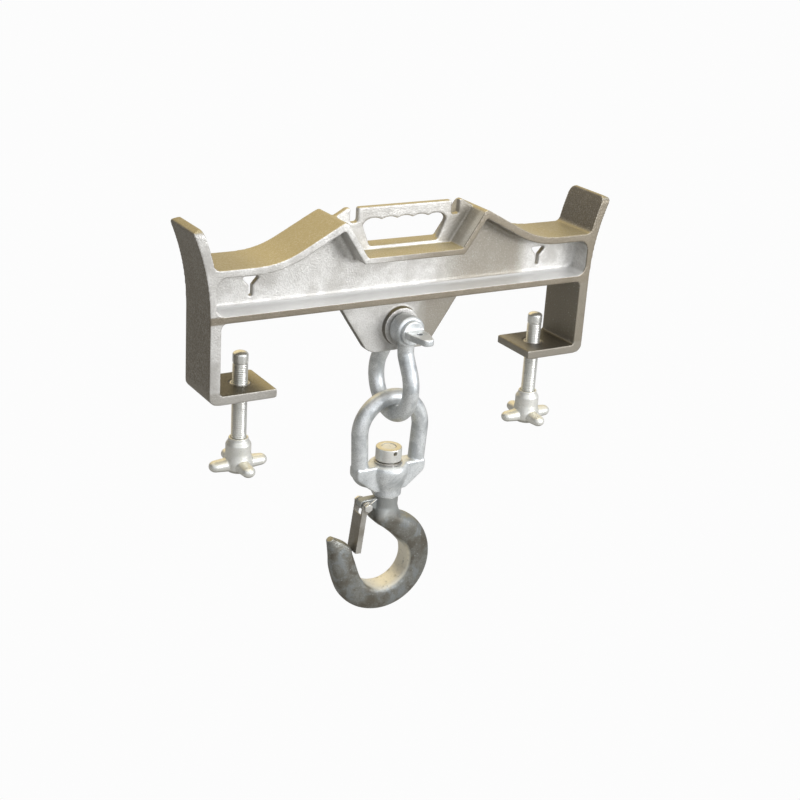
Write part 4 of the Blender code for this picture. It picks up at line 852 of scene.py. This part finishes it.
def make_bow():
    """The bar swept round the bow and down its legs, with a flat round ear on each end."""
    swing = arc((0, BOW_Z), BOW_RADIUS - 0.0003, LEG_ANGLE, -math.pi - LEG_ANGLE)
    ear_y = (EAR_NEAR + EAR_FAR) / 2
    knee = swing[0][1] + (swing[0][0] - ear_y) / math.tan(LEG_ANGLE)
    draw_in = rounded([(ear_y, PIN_Z - EAR_RADIUS / 2, 0), (ear_y, knee, EAR_RADIUS), (*swing[0], 0)])[:-1]
    path = draw_in + swing + [(-u, v) for u, v in reversed(draw_in)]
    shape = bmesh.new()
    add_swept(shape, [(0, u, v) for u, v in path], [BAR] * len(path))
    bodies = [body_of("bow_bar", shape)]
    soft, outside = 0.0025, EAR_NEAR - EAR_FAR
    profile = [(0, 0.0), (EAR_RADIUS - soft, 0.0), (EAR_RADIUS, -soft), (EAR_RADIUS, soft + outside)]
    profile += [(EAR_RADIUS - soft, outside), (0, outside)]
    for side in (-1, 1):
        ear = turned("ear", profile, steps=72)
        lay = Matrix.Translation((0, side * EAR_NEAR, PIN_Z)) @ Matrix.Rotation(side * math.pi / 2, 4, "X")
        ear.data.transform(lay)
        bodies.append(ear)
    for body in bodies:
        cut(body, rod_body("gap_tool", EAR_RADIUS * 1.6, (0, -EAR_NEAR, PIN_Z), (0, EAR_NEAR, PIN_Z)),
            rod_body("bore_tool", EAR_BORE, (0, -0.1, PIN_Z), (0, 0.1, PIN_Z)))
    return fused("forged_bow", bodies, 0.0008, 5)


finish(make_bow(), GALVANISED, "galvanised_steel", "shackle", "shackle_bow")


def make_shackle_pin():
    """The shank, its round collar in front of the ear, and the flat eye in front of that."""
    low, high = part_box("shackle_pin")
    radius, wide, soft = 0.012, (high.z - low.z) / 2, 0.0012
    back = -EAR_FAR - 0.0003
    front = back - 0.006
    profile = [(0, high.y), (radius - soft, high.y), (radius, high.y - soft), (radius, back - 0.003)]
    profile += [(0, back - 0.003)]
    pin = turned("pin_shank", profile, steps=72)
    disc = [(0, back), (wide - soft, back), (wide, back - soft), (wide, front + soft)]
    disc += [(wide - soft, front), (0, front)]
    collar = turned("pin_collar", disc, steps=72)
    for body in (pin, collar):
        body.data.transform(Matrix.Translation((0, 0, PIN_Z)) @ Matrix.Rotation(-math.pi / 2, 4, "X"))
    eye_tip, root, tip = low.y + 0.0001, 0.014, 0.0065
    shoulder = front - root
    corners = [(root, back - 0.001, 0), (-root, back - 0.001, 0), (-root, shoulder, root)]
    corners += [(-tip, eye_tip, tip * 0.95), (tip, eye_tip, tip * 0.95), (root, shoulder, root)]
    shape = bmesh.new()
    add_prism(shape, rounded(corners), PIN_Z - 0.0045, PIN_Z + 0.0045, "Z")
    rims = [e for e in shape.edges if abs(e.verts[0].co.z - e.verts[1].co.z) < 1e-6]
    soften(shape, rims, 0.0018, 4)
    eye = body_of("pin_eye", shape)
    cut(eye, rod_body("hole_tool", 0.004, (0, shoulder, PIN_Z - 0.02), (0, shoulder, PIN_Z + 0.02), 40))
    return fused("screw_pin", [pin, collar, eye], 0.0006, 3)


finish(make_shackle_pin(), GALVANISED, "galvanised_steel", "shackle", "shackle_pin")

# ---------------------------------------------------------------- swivel bail, washer and shank nut
# A drop-forged galvanised eye: a round crown through the shackle, two legs, and arms that carry a bored
# boss. The hook's shank comes up through it and is held by a round button nut on a thrust washer.

bail_low, bail_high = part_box("swivel_bail")
LEG, CROWN_RADIUS, LEG_LENGTH, LEG_FOOT = 0.0115, 0.047, 0.064, 0.0435
SHANK_HOLE, NUT_PIN_HOLE = 0.0103, 0.0028
CROWN_Z = bail_high.z - LEG
SEAT_Z, BOSS_LOW = -0.23995, bail_low.z


def make_bail():
    """Crown and legs swept in one, the turned boss between their feet, and the arms that join them."""
    centre = (0, CROWN_Z - CROWN_RADIUS)
    bend = centre[1] - LEG_LENGTH
    foot = (0.0205 - LEG / 2, BOSS_LOW + (SEAT_Z - BOSS_LOW) * 0.4)
    crown = arc(centre, CROWN_RADIUS, 0, math.pi)
    leg = rounded([(*foot, 0), (LEG_FOOT, bend, 0.016), (*crown[0], 0)])[:-1]
    path = leg + crown + [(-u, v) for u, v in reversed(leg)]
    shape = bmesh.new()
    add_swept(shape, [(u, 0, v) for u, v in path], [LEG] * len(path))
    bodies = [body_of("bail_bar", shape)]
    profile = [(0, SEAT_Z), (0.024, SEAT_Z), (0.027, SEAT_Z - 0.003), (0.028, SEAT_Z - 0.007)]
    profile += [(0.028, SEAT_Z - 0.012), (0.027, SEAT_Z - 0.020), (0.024, SEAT_Z - 0.028)]
    profile += [(0.0213, SEAT_Z - 0.0345), (0.0205, SEAT_Z - 0.037), (0.0205, BOSS_LOW + 0.001)]
    profile += [(0.0195, BOSS_LOW), (0, BOSS_LOW)]
    bodies.append(turned("boss", profile, steps=96))
    corner = SEAT_Z - 0.016
    end = 0.0535
    half = [(0, corner - 0.023, 0), (0.024, corner - 0.023, 0), (end, corner, LEG), (end, SEAT_Z, 0.003)]
    shape = bmesh.new()
    add_prism(shape, mirrored(rounded(half + [(0, SEAT_Z, 0)])), -0.012, 0.012)
    rims = [e for e in shape.edges if abs(e.verts[0].co.y - e.verts[1].co.y) < 1e-6]
    soften(shape, rims, 0.003, 4)
    bodies.append(body_of("arms", shape))
    top = (0, 0, SEAT_Z + 0.03)
    for body in bodies:
        cut(body, rod_body("seat_tool", 0.022, (0, 0, SEAT_Z), top, 72),
            rod_body("bore_tool", 0.0105, (0, 0, BOSS_LOW - 0.01), top, 48))
    return fused("forged_bail", bodies, 0.0009, 6)


finish(make_bail(), GALVANISED, "galvanised_steel", "bail", "swivel_bail")

low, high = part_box("thrust_washer")
washer_radius, soft = high.x, 0.0005
ring = [(SHANK_HOLE, high.z), (washer_radius - soft, high.z), (washer_radius, high.z - soft)]
ring += [(washer_radius, low.z + soft), (washer_radius - soft, low.z), (SHANK_HOLE, low.z)]
finish(turned("seat_washer", ring), WASHED_STEEL, "plain_steel", "bail", "thrust_washer", angle=30)


def nut_pin_tool(sides):
    low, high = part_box("nut_pin")
    level = (low.z + high.z) / 2
    return rod_body("hole_tool", NUT_PIN_HOLE, (0, -0.03, level), (0, 0.03, level), sides)


def make_nut():
    """A round nut with a rolled top edge, cross-drilled for its pin."""
    low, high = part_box("shank_nut")
    radius, soft = high.x, 0.0016
    profile = [(SHANK_HOLE, high.z), (radius - soft, high.z)]
    for step in range(1, 6):
        turn = math.pi / 2 * (1 - step / 5)
        profile.append((radius - soft + soft * math.cos(turn), high.z - soft + soft * math.sin(turn)))
    profile += [(radius, low.z + soft), (radius - soft, low.z), (SHANK_HOLE, low.z)]
    return cut(turned("button_nut", profile), nut_pin_tool(40))


# Its up tint is painted warm light; its end and under tints are painted shade.
NUT_METAL = metal("button_nut_skin", (0.92, 0.92, 0.89), (0.74, 0.75, 0.73), ((0.74, 0.66, 0.44), 0.8),
                  ((0.42, 0.42, 0.40), 0.4), ((0.30, 0.29, 0.26), 0.5), (0.93, 0.93, 0.90), 0.65,
                  (0.28, 0.42), 0.0009, 0.00008, stretch=(1, 1, 1.6), wear=(0.55, 0.65))
finish(make_nut(), NUT_METAL, "galvanised_steel", "swivel_hook", "shank_nut", angle=35)

finish(cross_pin("nut_cross_pin", "nut_pin", 0, 0.0005), WASHED_STEEL, "plain_steel", "swivel_hook",
       "nut_pin", angle=30)

# ---------------------------------------------------------------- hook
# A drop-forged steel hook with its shank, the skin a mottled grey-brown scale under thin blue-grey zinc,
# rubbed bright in the bowl. An ear forged on its neck carries the latch.

HOOK_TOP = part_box("hook")[1].z
NECK_TOP, NECK_RADIUS = -0.28725, 0.017
BOWL_X, BOWL_Z, BOWL_IN, BOWL_OUT = -0.003, -0.38805, 0.037, 0.0746
HOOK_HALF_DEPTH, TIP_HALF_DEPTH = 0.0195, 0.0100
PIVOT_X, PIVOT_Z, BOLT_HOLE = -0.035, -0.29795, 0.0033
HOOK_SIDES, BETWEEN = 56, 5


def bowl_point(radius, degrees):
    """A point at a radius and an angle from the middle of the bowl."""
    angle = math.radians(degrees)
    return (BOWL_X + radius * math.cos(angle), BOWL_Z + radius * math.sin(angle))


def hook_stations():
    """Stations down the neck, round the bowl and out to the tip: outer point, inner point, half depth."""
    made = []
    for height in (NECK_TOP, NECK_TOP - NECK_RADIUS / 2, NECK_TOP - NECK_RADIUS):
        made.append((NECK_RADIUS, height, -NECK_RADIUS, height, NECK_RADIUS))
    shoulders = ((70, 0.0750, 106, 0.0698), (58, 0.0750, 92, 0.0518), (44, 0.0750, 66, 0.0392))
    for outer_angle, outer, inner_angle, inner in shoulders:
        made.append((*bowl_point(outer, outer_angle), *bowl_point(inner, inner_angle), HOOK_HALF_DEPTH))
    for index in range(13):
        degrees = 28 - 193 * index / 12
        thin = max(0.0, (-100 - degrees) / 65)
        depth = HOOK_HALF_DEPTH - thin * (HOOK_HALF_DEPTH - TIP_HALF_DEPTH) / 3
        outer, inner = BOWL_OUT + thin * 0.0019, BOWL_IN + thin * 0.0030
        made.append((*bowl_point(outer, degrees), *bowl_point(inner, degrees), depth))
    tips = ((-182, 0.0806, -186, 0.0440, 0.0150), (-193, 0.0845, -202, 0.0527, 0.0130),
            (-201, 0.0905, -212, 0.0640, 0.0105), (-207.5, 0.0975, -212, 0.0926, 0.0055))
    for outer_angle, outer, inner_angle, inner, depth in tips:
        made.append((*bowl_point(outer, outer_angle), *bowl_point(inner, inner_angle), depth))
    return made


def smoothed(stations):
    """More stations between the given ones, on a smooth curve through them."""
    ends = [stations[0]] + stations + [stations[-1]]
    made = []
    for a, b, c, d in zip(ends, ends[1:], ends[2:], ends[3:]):
        for step in range(BETWEEN):
            t = step / BETWEEN
            row = []
            for p, q, r, s in zip(a, b, c, d):
                row.append(0.5 * (2 * q + (r - p) * t + (2 * p - 5 * q + 4 * r - s) * t * t
                                  + (3 * q - p - 3 * r + s) * t ** 3))
            made.append(row)
    return made + [stations[-1]]


def signed_power(value, power):
    return math.copysign(abs(value) ** power, value)


def make_hook():
    """The body lofted through rings that fill out to a rounded square, the shank and the latch's ear."""
    rings = []
    stations = smoothed(hook_stations())
    for number, (outer_x, outer_z, inner_x, inner_z, depth) in enumerate(stations):
        middle = Vector((outer_x + inner_x, outer_z + inner_z)) / 2
        reach = Vector((outer_x - inner_x, outer_z - inner_z)) / 2
        fullness = min(1.0, max(0.0, (number - 2 * BETWEEN) / BETWEEN))
        ring = []
        for side in range(HOOK_SIDES):
            angle = 2 * math.pi * side / HOOK_SIDES
            squareness = 2 + fullness * (0.3 if math.cos(angle) > 0 else 2.5)
            along = signed_power(math.cos(angle), 2 / squareness)
            across = depth * signed_power(math.sin(angle), 2 / squareness)
            point = middle + reach * along
            ring.append((point.x, across, point.y))
        rings.append(ring)
    shape = bmesh.new()
    add_loft(shape, rings)
    body = body_of("hook_body", shape)
    shank = rod_body("hook_shank", 0.010, (0, 0, NECK_TOP - 0.008), (0, 0, HOOK_TOP), 56)
    shape = bmesh.new()
    outline = arc((PIVOT_X, PIVOT_Z), 0.0068, math.pi / 2, 3 * math.pi / 2)
    outline += [(-0.0085, PIVOT_Z - 0.0102), (-0.0085, PIVOT_Z + 0.0068)]
    add_prism(shape, outline, -0.0035, 0.0097)
    ear = body_of("latch_ear", shape)
    cut(ear, rod_body("hole_tool", BOLT_HOLE, (PIVOT_X, -0.03, PIVOT_Z), (PIVOT_X, 0.03, PIVOT_Z), 32))
    cut(shank, nut_pin_tool(32))
    return fused("forged_hook", [body, shank, ear], 0.0009, 4)


def hook_overlay(tree, colour, skin, facing):
    """Blue-grey zinc left on the neck and in patches, a plated shank, and a bowl rubbed bright."""
    place = add(tree, "TexCoord").outputs["Object"]
    height = add(tree, "SeparateXYZ", {0: place}).outputs["Z"]
    wide = add(tree, "TexNoise", {"Vector": place, "Scale": 62.0, "Detail": 3.0, "Distortion": 0.5})
    blue = times(tree, span(tree, wide.outputs[0], 0.50, 0.66), 0.8)
    colour = blend(tree, blue, colour, (0.27, 0.29, 0.295))
    deep = times(tree, span(tree, wide.outputs[0], 0.46, 0.34), 0.6)
    colour = blend(tree, deep, colour, (0.12, 0.105, 0.08))
    colour = blend(tree, times(tree, span(tree, height, -0.325, -0.300), 0.8), colour, (0.42, 0.44, 0.44))
    flat = add(tree, "VectorMath", {0: place, 1: (1, 0, 1)}, operation="MULTIPLY").outputs[0]
    away = add(tree, "VectorMath", {0: flat, 1: (BOWL_X, 0, BOWL_Z)}, operation="DISTANCE").outputs["Value"]
    inside = times(tree, span(tree, away, BOWL_IN + 0.0042, BOWL_IN + 0.0008),
                   span(tree, height, -0.350, -0.375))
    patchy = add(tree, "TexNoise", {"Vector": place, "Scale": 120.0, "Detail": 3.0})
    ragged = span(tree, patchy.outputs[0], 0.15, 0.45)
    colour = blend(tree, times(tree, inside, ragged), colour, (0.80, 0.77, 0.67))
    return blend(tree, span(tree, height, -0.2875, -0.2865), colour, (0.86, 0.84, 0.76))


# Its up tint is painted warm light; its end and under tints are painted shade.
FORGED = metal("forged_hook_skin", (0.26, 0.265, 0.25), (0.15, 0.14, 0.115), ((0.44, 0.39, 0.25), 0.5),
               ((0.16, 0.155, 0.14), 0.2), ((0.13, 0.12, 0.10), 0.5), (0.66, 0.65, 0.60), 0.6, (0.34, 0.55),
               0.0022, 0.00045, speck=(0.40, 0.42, 0.42), wear=(0.52, 0.58), overlay=hook_overlay)
finish(make_hook(), FORGED, "forged_steel", "swivel_hook", "hook")

# ---------------------------------------------------------------- safety latch
# A latch pressed from 2 mm sheet as a channel, open towards the throat. It swings on a small hexagon bolt
# through the hook's ear, and a wire spring round the bolt keeps it shut.

LATCH_LENGTH, LATCH_LEAN, LATCH_HALF, SHEET, EYE = 0.069, math.radians(6.5), 0.012, 0.002, 0.0075
# Its up tint is painted warm light; its end and under tints are painted shade.
LATCH_METAL = metal("latch_skin", (0.56, 0.55, 0.52), (0.36, 0.34, 0.30), ((0.66, 0.60, 0.46), 0.4),
                    ((0.20, 0.18, 0.15), 0.75), ((0.2, 0.19, 0.16), 0.5), (0.88, 0.87, 0.83), 0.7,
                    (0.28, 0.45), 0.0010, 0.00010, speck=(0.28, 0.24, 0.18), wear=(0.53, 0.62))


def make_latch():
    """The channel cut upright about its bolt, then leant against the tip."""
    outline = arc((0, 0), EYE, 0, math.pi)
    outline += [(-EYE, -LATCH_LENGTH), (-EYE + 0.009, -LATCH_LENGTH), (-EYE + 0.0085, -EYE * 1.6)]
    inside = [(SHEET - EYE, -EYE * 1.6), (SHEET - EYE, -0.08), (0.02, -0.08), (0.02, 0.02), (-0.02, 0.02)]
    inside += [(-0.02, -EYE * 1.6)]
    latch = prism_body("channel", outline, LATCH_HALF)
    cut(latch, prism_body("inside_tool", inside, LATCH_HALF - SHEET),
        rod_body("hole_tool", BOLT_HOLE, (0, -0.03, 0), (0, 0.03, 0), 32))
    latch.data.transform(Matrix.Translation((PIVOT_X, 0, PIVOT_Z)) @ Matrix.Rotation(LATCH_LEAN, 4, "Y"))
    return fused("pressed_latch", [latch], 0.0005, 3)


finish(make_latch(), LATCH_METAL, "zinc_plated_steel", "latch", "hook_latch")


def add_bar(shape, radius, start, end, sides=40, tip=None):
    """A bar along the latch's bolt, from one Y to another."""
    add_rod(shape, radius, (PIVOT_X, start, PIVOT_Z), (PIVOT_X, end, PIVOT_Z), sides, tip)


def hexagon(start, end):
    """A six-sided head or nut along Y with softened corners."""
    shape = bmesh.new()
    add_bar(shape, 0.0061, start, end, 6)
    soften(shape, list(shape.edges), 0.0004, 3)
    return shape


bolt_low, bolt_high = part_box("latch_bolt")
head, end = bolt_low.y, bolt_high.y
bolt = hexagon(head, head + 0.004)
add_bar(bolt, 0.003, head + 0.003, end - 0.0004)
add_bar(bolt, 0.003, end - 0.0004, end, 40, 0.0026)
finish(body_of("hexagon_bolt", bolt), BRIGHT_ZINC, "zinc_plated_steel", "swivel_hook", "latch_bolt",
       angle=30)

nut_low, nut_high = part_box("latch_nut")
hole = bmesh.new()
add_bar(hole, 0.0032, -0.03, 0.03)
latch_nut = cut(body_of("hexagon_nut", hexagon(nut_low.y, nut_high.y)), body_of("hole_tool", hole))
finish(latch_nut, BRIGHT_ZINC, "zinc_plated_steel", "swivel_hook", "latch_nut", angle=30)

# Its up tint is painted warm light; its end and under tints are painted shade.
SPRING_METAL = metal("spring_wire_skin", (0.70, 0.71, 0.71), (0.55, 0.55, 0.54), ((0.8, 0.76, 0.66), 0.4),
                     ((0.5, 0.5, 0.48), 0.3), ((0.3, 0.29, 0.27), 0.4), (0.92, 0.92, 0.9), 0.9, (0.18, 0.3),
                     0.0004, 0.00002)
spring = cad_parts["latch_spring"]
spring.data.materials.clear()
spring.data.materials.append(SPRING_METAL)
